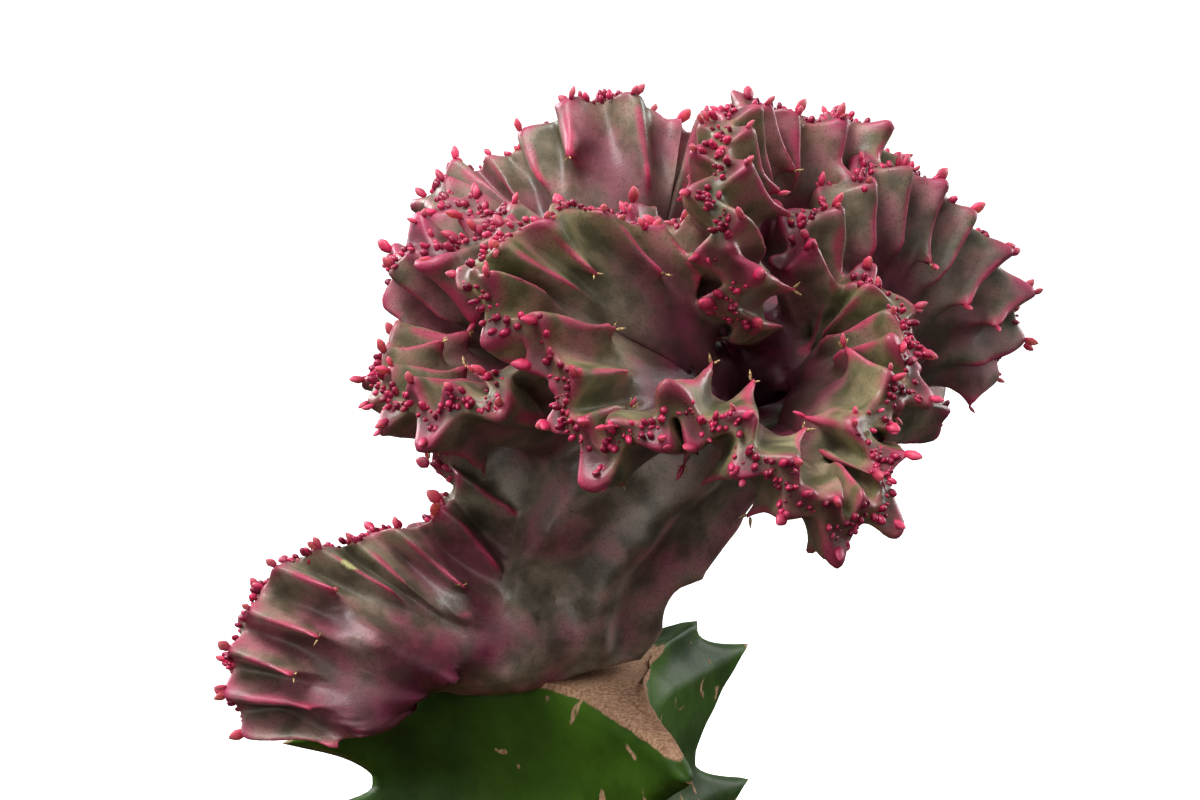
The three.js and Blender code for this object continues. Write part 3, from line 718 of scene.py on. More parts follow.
def fold_surface(columns, fold):
    """The fold's skin: rings that go down one face from the growth line to the foot and up the other.

    Between two ribs the lip is low and thin. At a rib's end it swells into a knob over the growth line.
    Each rib runs down from its knob as a sharp curving crest between sunken valleys, and ends in a pointed
    tooth. Lesser knobs stand between the ribs."""
    count, last, reach, salt = (columns[k] for k in ("count", "last", "reach", "salt"))
    near = np.minimum(0.75 * reach, 15)
    ends = np.minimum(count, last - count) / 0.9
    rounding = np.where(ends >= 1, 1, np.sqrt(np.clip(ends * (2 - ends), 0.01, 1)))
    flare, second = fold.get("flare", 0), fold.get("second", 0)
    edge_side = np.exp(-((count / 0.7) ** 2))
    rings, marks = [], {name: [] for name in FOLD_MARKS}

    def add(side, out, drop, *values):
        room = room_inside(columns, np.maximum(drop, 0))[side]
        clear = np.minimum(out, room) * rounding
        fading = 1 - smooth(drop, 5, 14)
        points = columns["middle"] + columns["sway"] * fading[:, None] - columns["rise"] * drop[:, None]
        for edge_drop, edge_size in fold.get("edge_teeth", ()):
            jut = edge_size * edge_side * np.exp(-np.abs(drop - edge_drop) / 2.2)
            points = points - columns["along"] * jut[:, None]
        rings.append(points + columns["face"] * (side * clear)[:, None])
        for name, value in zip(marks, values):
            marks[name].append(value + 0 * count)

    for side in (1, -1):
        rib, off, way = nearest_rib(count, side, last)
        lesser, lesser_off, _ = nearest_rib(count, -side, last)
        size = between(0.6, 1.05, rib, salt + 50)
        small = between(-0.2, 0.75, lesser, salt + 51)
        knob = size * np.exp(-((off / 0.5) ** 4))
        knob = np.maximum(knob, np.maximum(small, 0) * np.exp(-((lesser_off / 0.3) ** 2.4)))
        strong = between(0.3, 1, rib, salt)
        tooth_drop = np.minimum(TOOTH_DROP * between(0.72, 1.4, rib, salt + 9), reach * 0.6)
        point = TOOTH_POINT * between(0.4, 1, rib, salt + 21)
        short = between(3.5, 7, lesser, salt + 12)
        rows = []
        for (low_out, low_drop), (high_out, high_drop) in LIP:
            out = low_out + (high_out - low_out) * knob
            drop = low_drop + (high_drop - low_drop) * knob
            pink = 0.45 + 0.55 * knob
            groove = 1 - smooth(high_out, 0.8, 2.8)
            rows.append((out, drop, 0, pink, 0.5 * knob * smooth(high_out, 1, 2.5), 0, 0, 0, groove))
        for k in range(ROWS):
            v = k / (ROWS - 1)
            deep = np.where(v < 0.72, near * v / 0.72, near + (reach - near) * (v - 0.72) / 0.28)
            drop = deep + (1.1 - 2.6 * knob) * (1 - smooth(deep, 0, 4))
            curve = RIB_CURVE * between(-1, 1, rib, salt + 33) * (deep / 11) ** 1.4
            turned = np.abs(way - curve * (1 - off**2))
            # a rib's section: a finger near the rim, and a sharp crest further down
            thin = np.exp(-((turned / 0.16) ** 2))
            crest = 0.62 * np.clip(1 - turned, 0, 1) ** 1.6 + 0.38 * thin
            finger = np.clip(1 - (turned / 0.78) ** 2, 0, 1) ** 0.75
            swell = finger + (crest - finger) * smooth(deep, 2.5, 9.5)
            # the fold's own thickness
            base = 1.15 + 0.9 * smooth(deep, 0, 6) + 1.1 * smooth(deep, 5, 13)
            base = base + flare * smooth(deep / reach, 0.25, 0.95) ** 1.4
            base = base * (1 - 0.5 * flare / 7 * smooth(count / last, 0.3, 0.6))
            # how high the rib stands: it rises to its tooth and falls away below it
            grown = RIB_HEIGHT + TOOTH_HEIGHT * strong + RIB_EXTRA
            rising = np.clip(deep / tooth_drop, 0, 1)
            fall = np.clip((drop - tooth_drop) / np.clip((reach - tooth_drop) * 0.5, 2.5, 7), 0, 1)
            height = (2.6 * size + (grown - 2.6 * size) * rising**1.2) * (1 - fall) ** 1.8
            height = height * fold.get("relief", 1)
            over_rim = 3.1 * knob * np.exp(-((deep / 3.2) ** 2))
            lesser_rib = 1.9 * np.maximum(small, 0) * np.exp(-((lesser_off / 0.3) ** 2))
            lesser_rib = lesser_rib * (1 - smooth(drop, short * 0.3, short))
            spike = np.exp(-((turned / 0.19) ** 2)) * np.exp(-(((drop - tooth_drop) / 1.35) ** 2))
            out = base + np.maximum(height * swell * smooth(deep, -2.5, 2.5), over_rim + lesser_rib)
            out = out + point * spike
            # the broad ribs of a second row, each with a spur
            if second:
                broad = np.round((count - 2) / SECOND_SPACING)
                aside = np.abs(count - 2 - broad * SECOND_SPACING) / SECOND_SPACING * 2
                lower = second * between(0.8, 1.12, broad, salt + 70 + side)
                hump = np.exp(-(np.maximum(lower - drop, 0) / 5.5) ** 2)
                hump = hump * np.exp(-(np.maximum(drop - lower, 0) / 2.4) ** 1.3)
                spur = np.exp(-((aside / 0.2) ** 2)) * np.exp(-(((drop - lower) / 1.6) ** 2))
                out = out + 5 * hump * np.clip(1 - aside, 0, 1) ** 1.3 + 2 * spur
                spike = np.maximum(spike, 0.8 * spur)
            # marks for the finish; the valleys' mark sets where it paints shade
            shown = (0.2 * swell + 0.9 * thin) * smooth(deep, 0.3, 2.5) * (1 - fall * 0.8)
            edge = np.exp(-deep / 1.6) * (0.3 + 0.7 * knob)
            tip = np.clip(spike * 1.3, 0, 1) + 0.5 * knob * np.exp(-((deep / 1.6) ** 2))
            hollow = (1 - swell) * smooth(deep, 1, 4) * (1 - 0.6 * fall)
            drop = drop + 1.1 * point * spike
            rows.append((out, drop, shown, edge, tip, deep / reach, hollow, spike, 0))
        for row in rows if side > 0 else reversed(rows[1:]):
            add(side, *row)
    points = np.stack(rings, axis=1)
    uneven = 0.35 * lumps(points, 5, salt) + 0.14 * lumps(points, 1.9, salt + 3)
    uneven = uneven + 0.8 * lumps(points, 12, salt + 5)
    points = points + columns["face"][:, None, :] * uneven[..., None]
    return points, {name: np.stack(values, axis=1) for name, values in marks.items()}


def face_row(side, row):
    """Where a row of one face, counted from the growth line, is in the fold's rings."""
    return row if side > 0 else 2 * FACE_ROWS - 1 - row


def ball_surface(middle, radii, columns=56, rows=32):
    """One of the balls at the middle of the head, with a lumpy skin."""
    centre = from_view([middle])[0]
    turn = np.linspace(0, 2 * math.pi, columns, endpoint=False)
    climb = np.linspace(0.001, math.pi - 0.001, rows)
    turns, climbs = np.meshgrid(turn, climb, indexing="ij")
    across = radii[0] * np.sin(climbs) * np.cos(turns)
    upward = radii[1] * np.cos(climbs)
    away = radii[2] * np.sin(climbs) * np.sin(turns)
    points = centre + across[..., None] * ACROSS + upward[..., None] * UPWARD + away[..., None] * AWAY
    furrows = np.abs(np.cos(turns * 5 + np.sin(climbs * 3))) * np.sin(climbs)
    uneven = 1.6 * furrows + 0.9 * lumps(points, 4, 5) + 0.5 * lumps(points, 1.8, 6) - 1
    return points + unit(points - centre) * uneven[..., None]


def ring_between(rings, height):
    """The trunk's measures at a height, smoothly between its rings."""
    table = np.array(rings)
    place = np.interp(height, table[:, 0], np.arange(len(table)))
    first = np.minimum(place.astype(int), len(table) - 2)
    weight = smooth(place - first)[:, None]
    return table[first] * (1 - weight) + table[first + 1] * weight


def trunk_surface(columns=150, rows=60):
    heights = np.linspace(TRUNK_RINGS[0][0], TRUNK_RINGS[-1][0], rows)
    measures = ring_between(TRUNK_RINGS, heights)
    turn = np.linspace(0, 2 * math.pi, columns, endpoint=False)[:, None]
    lean = 0.1 * np.sin(heights * 0.21)[None, :]
    rib = np.abs(np.cos((turn + lean + 0.25) * TRUNK_RIBS / 2)) ** 2.6
    wing = measures[:, 5] * np.clip(np.cos(turn), 0, 1) ** 8
    rib_height = 4 * smooth(heights, TRUNK_RINGS[0][0], TRUNK_RINGS[0][0] + 7)
    x = measures[:, 1] + (measures[:, 3] + rib * rib_height + wing) * np.cos(turn)
    y = measures[:, 2] + (measures[:, 4] + rib * rib_height) * np.sin(turn)
    z = np.broadcast_to(heights, x.shape)
    points = np.stack([x, y, z], axis=-1)
    middle = np.stack([measures[:, 1], measures[:, 2], heights], axis=-1)
    outward = unit(points - middle[None])
    bumpy = 0.5 * lumps(points, 5, 8) + 0.25 * lumps(points, 2, 9)
    points = points + outward * (bumpy * smooth(heights, 175, 180))[..., None]
    return points, rib


def grown_together(shells):
    """Joins closed shells into one skin."""
    whole = shells[0]
    for shell in shells[1:]:
        union = whole.modifiers.new("union", "BOOLEAN")
        union.operation = "UNION"
        union.solver = "MANIFOLD"
        union.object = shell
        select_only(whole)
        bpy.ops.object.modifier_apply(modifier=union.name)
        bpy.data.objects.remove(shell)
    return whole


def rounded_creases(points, edges, off_known):
    """Smooths the points near those that the joining has made, which lie along the creases."""
    creases = tree_of(points[off_known > FRESH])
    away = np.array([creases.find(point)[2] for point in points])
    weight = (1 - smooth(away, 0.3 * CREASE_REACH, CREASE_REACH))[:, None]
    first, second = edges[:, 0], edges[:, 1]
    count = np.bincount(edges.ravel(), minlength=len(points))[:, None]
    points = points.copy()
    for _ in range(CREASE_ROUNDS):
        total = np.zeros_like(points)
        np.add.at(total, first, points[second])
        np.add.at(total, second, points[first])
        points += (total / np.maximum(count, 1) - points) * weight * 0.6
    return points


def softened(values, edges, rounds):
    """Evens out a mark between neighbouring points."""
    first, second = edges[:, 0], edges[:, 1]
    count = np.maximum(np.bincount(edges.ravel(), minlength=len(values)), 1)
    for _ in range(rounds):
        total = np.bincount(first, values[second], len(values))
        total += np.bincount(second, values[first], len(values))
        values = values * 0.4 + total / count * 0.6
    return values


def crest_piece(material):
    """The folds, the middle of the head and the trunk, grown together as one skin."""
    shells, known, marks = [], [], {name: [] for name in CREST_MARKS}

    def add(name, surface, values, faces_over=turned_faces):
        shell = mesh_object(name, surface.reshape(-1, 3), faces_over(*surface.shape[:2]))
        edit(shell, (bpy.ops.mesh.normals_make_consistent, {"inside": False}))
        thinned = shell.modifiers.new("thinned", "DECIMATE")
        thinned.ratio = KEPT
        bpy.ops.object.modifier_apply(modifier=thinned.name)
        shells.append(shell)
        known.append(surface.reshape(-1, 3))
        for mark, stored in marks.items():
            stored.append(np.broadcast_to(values.get(mark, 0), surface.shape[:2]).ravel())

    for name, fold in FOLDS.items():
        surface, values = GROWN[name][1:]
        values = {**values, "green": fold["green"], "flush": fold["flush"]}
        add(name, surface, values, tube_faces)
    for i, core in enumerate(CORES):
        surface = ball_surface(core["middle"], core["radii"])
        add(f"core_{i}", surface, {"deep": core["deep"], "flush": core["flush"]})
    surface, rib = trunk_surface()
    # painted shade in the trunk's valleys between its ribs, and pink on its ridges
    marks_here = {"ridge": rib**3 * 0.5, "deep": 0.2, "hollow": (1 - rib) * 0.7, "flush": 0.34}
    add("trunk", surface, marks_here)
    piece = grown_together(shells)
    piece.name = piece.data.name = "crest_folds"
    mesh = piece.data
    points = np.zeros(len(mesh.vertices) * 3)
    mesh.vertices.foreach_get("co", points)
    points = points.reshape(-1, 3) / MM
    edges = np.zeros(len(mesh.edges) * 2, int)
    mesh.edges.foreach_get("vertices", edges)
    edges = edges.reshape(-1, 2)
    tree = tree_of(np.concatenate(known))
    found = [tree.find(point)[1:] for point in points]
    nearest = np.array([index for index, _ in found])
    rounded = rounded_creases(points, edges, np.array([distance for _, distance in found]))
    mesh.vertices.foreach_set("co", (rounded * MM).ravel())
    for name, values in marks.items():
        rounds = SHARP_ROUNDS if name in SHARP_MARKS else SOFT_ROUNDS
        write_attribute(piece, name, softened(np.concatenate(values)[nearest].astype(float), edges, rounds))
    select_only(piece)
    bpy.ops.object.shade_smooth()
    return finish_piece(piece, material, "crest", "crest")


# What repeats: made once as a primitive, shaped, and copied into one mesh


def little_shape(kind, segments, rings):
    """The corners and faces of a small ball, one long and up, from its root at the origin."""
    deselect()
    bpy.ops.mesh.primitive_uv_sphere_add(segments=segments, ring_count=rings, radius=0.5)
    ball = bpy.context.active_object
    edit(ball, (bpy.ops.transform.translate, {"value": (0, 0, 0.5)}))
    corners = np.array([v.co for v in ball.data.vertices], float)
    faces = [tuple(p.vertices) for p in ball.data.polygons]
    bpy.data.objects.remove(ball)
    height = corners[:, 2]
    if kind == "leaflet":
        waist = np.where(height < 0.5, 0.5 / np.maximum(np.sqrt(height * (1 - height)), 0.2), 1)
        waist = np.where(height < 0.5, waist * (0.62 + 0.38 * smooth(height, 0, 0.5)), 1)
        waist = waist * (1 - 0.4 * smooth(height, 0.55, 1))
        corners[:, 0] *= waist
        corners[:, 1] *= waist
        corners[:, 1] += 0.15 * height**2
    elif kind == "spine":
        taper = 1.35 - 0.95 * height
        corners[:, 0] *= taper
        corners[:, 1] *= taper
        corners[:, 0] += 0.25 * height**2
    return corners, faces


def copies_of(shape, roots, directions, broads, lengths, widths, thicknesses):
    """Many copies of a little shape in one set of points: each with its root, direction and size."""
    corners, faces = shape
    along = unit(np.asarray(directions))
    across = unit(np.asarray(broads) - along * np.sum(broads * along, axis=1, keepdims=True))
    through = np.cross(along, across)
    scaled = [
        corners[None, :, k : k + 1] * np.asarray(size)[:, None, None] * axis[:, None, :]
        for k, size, axis in ((0, widths, across), (1, thicknesses, through), (2, lengths, along))
    ]
    points = np.asarray(roots)[:, None, :] + sum(scaled)
    count = len(corners)
    all_faces = [tuple(v + i * count for v in face) for i in range(len(points)) for face in faces]
    heights = np.tile(corners[:, 2], len(points))
    return points.reshape(-1, 3), all_faces, heights


def skin_of(piece):
    """A piece's skin, in millimetres, to find what is near it."""
    corners = [corner.co / MM for corner in piece.data.vertices]
    return BVHTree.FromPolygons(corners, [tuple(face.vertices) for face in piece.data.polygons])


def near_skin(skin, root, limit):
    """Whether a root is near enough to the skin to grow from it."""
    return skin.find_nearest(Vector(root))[3] <= limit


def growth_lines(material, bud, skin):
    """The magenta seam along every rim, with its beads of new growth."""
    points, faces, bright = [], [], []
    start = 0
    sides = 8
    turn = np.linspace(0, 2 * math.pi, sides, endpoint=False)
    for i, (columns, _, _) in enumerate(GROWN.values()):
        rim, rise, face, count = (columns[k] for k in ("rim", "rise", "face", "count"))
        keep = (count > 0.7) & (count < columns["last"] - 0.7)
        rim, rise, face, count = rim[keep], rise[keep], face[keep], count[keep]
        swell = 1 + 0.35 * np.sin(count * 5.3 + i) * np.sin(count * 2.1)
        fade = np.sqrt(np.clip(np.minimum(count - count[0], count[-1] - count) / 0.5, 0, 1))
        wide = (0.4 * swell * fade + 0.02)[:, None, None]
        tall = (0.3 * swell * fade + 0.02)[:, None, None]
        rings = (
            (rim - rise * 0.8)[:, None, :]
            + face[:, None, :] * np.cos(turn)[None, :, None] * wide
            + rise[:, None, :] * np.sin(turn)[None, :, None] * tall
        )
        points.append(rings.reshape(-1, 3))
        faces.extend(tube_faces(len(rings), sides, start))
        bright.append(np.full(len(rings) * sides, 0.12))
        start += len(rings) * sides
        # beads, in twos and threes along both sides of the seam
        beads = np.arange(count[0] + 0.1, count[-1] - 0.1, BEAD_STEP / columns["spacing"])
        at = np.clip(np.searchsorted(count, beads), 0, len(count) - 1)
        order = np.arange(len(beads))
        keep = chance(order, i + 40) < 0.62 + 0.35 * np.sin(beads * 1.9 + i)
        at, order = at[keep], order[keep]
        side = np.where(chance(order, i + 41) < 0.5, 1, -1) * between(0, 1.25, order, i + 42)
        up = between(-1.0, 0.2, order, i + 43)
        size = between(0.6, 1.4, order, i + 44) ** 1.3 * 0.85
        roots = rim[at] + face[at] * side[:, None] + rise[at] * (up - 0.1)[:, None]
        direction = rise[at] + face[at] * (side * 0.9)[:, None]
        rooted = np.array([near_skin(skin, root, ROOTED["bead"]) for root in roots])
        roots, direction, size, order, at = (v[rooted] for v in (roots, direction, size, order, at))
        length = size * between(0.9, 1.7, order, i + 46)
        corners, bead_faces, heights = copies_of(
            bud, roots, direction, face[at], length, size, size * between(0.7, 1, order, i + 47)
        )
        points.append(corners)
        faces.extend(tuple(v + start for v in f) for f in bead_faces)
        tone = np.repeat(between(0.0, 1.0, order, i + 45) ** 1.5, len(bud[0]))
        bright.append(tone * (0.6 + 0.4 * heights))
        start += len(corners)
    piece = mesh_object("growth_line", np.concatenate(points), faces)
    write_attribute(piece, "bright", np.concatenate(bright))
    closed_and_smooth(piece, FINE_MERGE)
    nodes = [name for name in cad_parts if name.startswith("growth_line_")]
    return finish_piece(piece, material, "growth_line", *nodes)


def leaflets(material, leaf, skin):
    """Hot pink leaflets on the ends of the ribs, alone or in twos and threes."""
    roots, directions, broads, sizes = [], [], [], []
    for i, (columns, surface, _) in enumerate(GROWN.values()):
        rise, face, along = (columns[k] for k in ("rise", "face", "along"))
        for station in range(1, columns["last"]):
            for side in (1, -1):
                main = side == (1 if station % 2 else -1)
                if chance(station, i + 59 + side) > (0.85 if main else 0.4):
                    continue
                group = 1 + int(chance(station, i + 58) < 0.4) + int(chance(station, i + 57) < 0.2)
                for extra in range(group if main else 1):
                    key = station * 3 + extra + (0 if side > 0 else 500)
                    at = station * COLUMNS + round(extra * between(-4.4, 4.4, key, i + 61))
                    at = min(max(at, 0), len(rise) - 1)
                    row = face_row(side, 3 + int(chance(key, i + 62) < 0.5) + int(extra > 0))
                    out = side * between(-0.2, 1.5, key, i + 63)
                    drift = between(-0.7, 0.7, key, i + 64)
                    root = surface[at, row] - rise[at] * 1.3 - face[at] * side * 0.7
                    if not near_skin(skin, root, ROOTED["leaflet"]):
                        continue
                    roots.append(root)
                    directions.append(rise[at] + face[at] * out + along[at] * drift)
                    broads.append(along[at] + face[at] * between(-0.6, 0.6, key, i + 65))
                    sizes.append(between(1.7, 3, key, i + 66) * (1 if main and not extra else 0.75))
    sizes = np.array(sizes)
    order = np.arange(len(sizes))
    points, faces, heights = copies_of(
        leaf, np.array(roots), np.array(directions), np.array(broads), sizes,
        sizes * between(0.5, 0.78, order, 71), sizes * between(0.36, 0.52, order, 72),
    )
    piece = mesh_object("leaflets", points, faces)
    write_attribute(piece, "tip", heights)
    closed_and_smooth(piece, FINE_MERGE)
    return finish_piece(piece, material, "growth_line")


def tooth_points(columns, marks):
    """Each tooth's tip on the fold's skin, as its column and ring and the side it is on."""
    rows = {1: slice(0, FACE_ROWS), -1: slice(FACE_ROWS, 2 * FACE_ROWS - 1)}
    for station in range(1, columns["last"]):
        side = 1 if station % 2 else -1
        first = max(station * COLUMNS - COLUMNS + 2, 0)
        here = marks["tooth"][first : station * COLUMNS + COLUMNS - 1, rows[side]]
        column, row = np.unravel_index(np.argmax(here), here.shape)
        yield station, side, first + column, rows[side].start + row


def tooth_tips(pink, tan, leaf, spine, skin):
    """What ends the teeth: a pink stub on some, and dried tan spines in twos on most."""
    stubs = {"roots": [], "directions": [], "broads": [], "sizes": []}
    spines = {"roots": [], "directions": [], "broads": [], "sizes": []}

    def add(kind, root, direction, broad, size):
        for name, value in zip(kind, (root, direction, broad, size)):
            kind[name].append(value)

    for i, (columns, surface, marks) in enumerate(GROWN.values()):
        salt = 31 * i + 1
        for station, side, column, row in tooth_points(columns, marks):
            rise, face, along = (columns[k][column] for k in ("rise", "face", "along"))
            outward = face * side
            root = surface[column, row] - outward * 0.5
            if not near_skin(skin, root, ROOTED["tooth"]):
                continue
            if chance(station, salt + 80) < 0.35:
                lean = rise * between(-0.6, 0.5, station, salt + 81)
                add(stubs, root, outward + lean, rise, between(1.5, 2.4, station, salt + 82))
            if chance(station, salt + 83) < 0.7:
                for way in (-1, 1):
                    turn = along * way * between(0.25, 0.9, station, salt + 84 + way)
                    lean = rise * between(-0.6, 0.5, station, salt + 86)
                    size = between(1.0, 1.8, station, salt + 87 + way)
                    add(spines, root + along * way * 0.22, outward + turn + lean, along * way, size)
    made = []
    for name, kind, shape, material, slot, wide in (
        ("tooth_stubs", stubs, leaf, pink, "growth_line", 0.42),
        ("spine_tips", spines, spine, tan, "crest", 0.32),
    ):
        sizes = np.array(kind["sizes"])
        points, faces, heights = copies_of(
            shape, np.array(kind["roots"]), np.array(kind["directions"]), np.array(kind["broads"]),
            sizes, sizes * wide, sizes * wide * 0.85,
        )
        piece = mesh_object(name, points, faces)
        write_attribute(piece, "tip", heights)
        closed_and_smooth(piece, FINE_MERGE)
        made.append(finish_piece(piece, material, slot))
    return made


# Rootstock


def wing_reach(wing, height):
    phase = ((wing["first_tooth"] - height) / TEETH["step"]) % 1
    sloping = np.maximum(0, 1 - phase / TEETH["slope"]) ** 1.3
    rising = np.maximum(0, 1 - (1 - phase) / TEETH["rise"]) ** 2
    tooth = np.maximum(sloping, rising)
    grown = smooth(height, SOIL_TOP + 2, STOCK["shoulder"])
    return STOCK["stub"] + (STOCK["wing"] - STOCK["stub"] + TEETH["reach"] * tooth) * grown, tooth


def rootstock_piece(material):
    """The three-winged stem, its outline at each height a smooth closed curve."""
    heights = np.concatenate([
        np.linspace(STOCK["foot"], SOIL_TOP, 6)[:-1], np.linspace(SOIL_TOP, STOCK["top"], 100),
    ])
    grown = smooth(heights, SOIL_TOP + 2, STOCK["shoulder"])
    slope = smooth(heights, STOCK["top"] - STOCK["slope"], STOCK["top"])
    outline, marks = [], {"stem": [], "edge": []}

    def place(wing, out, aside, stem, edge):
        turn = math.radians(wing["turn"])
        x = out * math.cos(turn) - aside * math.sin(turn)
        y = out * math.sin(turn) + aside * math.cos(turn)
        drop = slope * wing["fall"] * np.maximum(0, out - STOCK["cut"])
        outline.append(np.stack([x, y, heights - drop], axis=-1))
        marks["stem"].append(np.full(len(heights), stem))
        marks["edge"].append(edge)

    shares = np.linspace(0.3, 1, 13)
    known = [0.0] + [s for s, _, _ in WING_OUTLINE] + [1.0]
    widths = [11.5] + [w for _, w, _ in WING_OUTLINE] + [1.1]
    stub_turns = [math.pi / 3] + [t for _, _, t in WING_OUTLINE] + [0.06]
    for i, wing in enumerate(WINGS):
        reach, tooth = wing_reach(wing, heights)
        following = WINGS[(i + 1) % len(WINGS)]
        half = []
        for share in shares:
            width = np.interp(share, known, widths)
            stub_turn = np.interp(share, known, stub_turns)
            rounded = width if share < 1 else 0.0
            stub = STOCK["stub"]
            out = stub * math.cos(stub_turn) * (1 - grown) + (reach * share) * grown
            aside = stub * math.sin(stub_turn) * (1 - grown) + rounded * grown
            edge = smooth(share * tooth, 0.86, 1.0) * grown
            half.append((out, aside, 1 - smooth(share, 0.3, 0.75), edge))
        for out, aside, stem, edge in half[:-1]:
            place(wing, out, -aside, stem, edge)
        place(wing, half[-1][0], 0 * heights, half[-1][2], half[-1][3])
        for out, aside, stem, edge in reversed(half[:-1]):
            place(wing, out, aside, stem, edge)
        halfway = ((following["turn"] - wing["turn"]) % 360) / 2
        valley = STOCK["stub"] * (1 - grown) + STOCK["valley"] * grown
        turn = math.radians(wing["turn"] + halfway)
        outline.append(
            np.stack([valley * math.cos(turn), valley * math.sin(turn), heights], axis=-1)
        )
        marks["stem"].append(np.ones(len(heights)))
        marks["edge"].append(np.zeros(len(heights)))
    points = np.stack(outline, axis=1)
    outward = unit(points * np.array([1, 1, 0]))
    wavy = (0.7 * lumps(points, 9, 12) + 0.25 * lumps(points, 3, 13)) * grown[:, None]
    points = points + np.cross(outward, [0, 0, 1]) * wavy[..., None]
    # the cut top: a dried, slightly sunken face inside a lip
    top = points[-1]
    rings, dried = [points], [np.zeros((len(heights), top.shape[0]))]
    dried[0][-3:] = np.array([0.1, 0.55, 0.9])[:, None]
    out = np.hypot(top[:, 0], top[:, 1])
    inner = np.minimum(1, STOCK["cut"] / out)
    for share, sink in ((0.12, -0.25), (0.4, 0.35), (0.7, 0.25), (0.9, 0.05), (1, 0)):
        scale = 1 + (inner * 0.98 - 1) * share
        height = top[:, 2] * (1 - share) + STOCK["top"] * share - sink
        height = height + 0.3 * lumps(top * 1.7, 3, 14) * math.sin(math.pi * share)
        rings.append(np.stack([top[:, 0] * scale, top[:, 1] * scale, height], axis=-1)[None])
        dried.append(np.ones((1, top.shape[0])))
    surface = np.concatenate(rings)
    columns, rows = surface.shape[:2]
    piece = mesh_object("winged_stem", surface.reshape(-1, 3), tube_faces(columns, rows))
    # the back wing's top is still green
    heading = math.radians(WINGS[2]["turn"])
    behind = surface[..., 0] * math.cos(heading) + surface[..., 1] * math.sin(heading)
    cut = np.concatenate(dried) * (1 - smooth(behind, 15, 21))
    extra = columns - len(heights)
    for name, values in marks.items():
        values = np.stack(values, axis=1)
        write_attribute(piece, name, np.concatenate([values, np.zeros((extra, rows))]))
    write_attribute(piece, "dried", cut)
    closed_and_smooth(piece)
    return finish_piece(piece, material, "rootstock", "rootstock")


# Pot and soil


def inside_radius(height):
    share = height / POT["height"]
    return POT["foot"] * (1 - share) + (POT["rim"] - POT["step"]) * share - POT["wall"]


def pot_piece(material):
    """A plain round pot, drawn up ring by ring from its foot, over its rim and down to its floor."""
    height, rim, foot = POT["height"], POT["rim"], POT["foot"]
    band_foot = height - POT["band"]

    def outside(level):
        return foot + (rim - POT["step"] - foot) * level / height

    profile = [
        (foot - 1.6, 0), (foot - 0.5, 0.35), (foot, 1.5), (outside(20), 20), (outside(40), 40),
        (outside(62), 62), (outside(band_foot - 2.2), band_foot - 2.2),
        (outside(band_foot) + 0.8, band_foot - 0.9), (rim - 1, band_foot), (rim - 0.2, band_foot + 0.6),
        (rim, band_foot + 2), (rim + 0.5, band_foot + 9), (rim + 1, height - 2.4),
        (rim + 0.7, height - 0.8),
        (rim - 0.4, height), (inside_radius(height) + 1.6, height),
        (inside_radius(height) + 0.4, height - 0.7), (inside_radius(height), height - 2.2),
        (inside_radius(60), 60), (inside_radius(POT["floor"] + 4), POT["floor"] + 4),
        (inside_radius(POT["floor"]) - 4, POT["floor"]), (4, POT["floor"]),
    ]
    deselect()
    bpy.ops.mesh.primitive_circle_add(vertices=96, radius=profile[0][0] * MM, fill_type="NGON")
    pot = bpy.context.active_object
    pot.name = pot.data.name = "clay_pot"
    bpy.ops.object.mode_set(mode="EDIT")
    bpy.ops.mesh.select_all(action="SELECT")
    bpy.ops.mesh.extrude_region_move(TRANSFORM_OT_translate={"value": (0, 0, 0)})
    for (radius, level), (wider, higher) in zip(profile, profile[1:]):
        scale = wider / radius
        bpy.ops.transform.translate(value=(0, 0, (higher - level) * MM))
        bpy.ops.transform.resize(value=(scale, scale, 1), center_override=(0, 0, 0))
        if (wider, higher) != profile[-1]:
            bpy.ops.mesh.extrude_region_move(TRANSFORM_OT_translate={"value": (0, 0, 0)})
    bpy.ops.object.mode_set(mode="OBJECT")
    closed_and_smooth(pot, 2 * MERGE)
    bpy.ops.object.shade_smooth_by_angle(angle=math.radians(50))
    return finish_piece(pot, material, "pot", "pot")


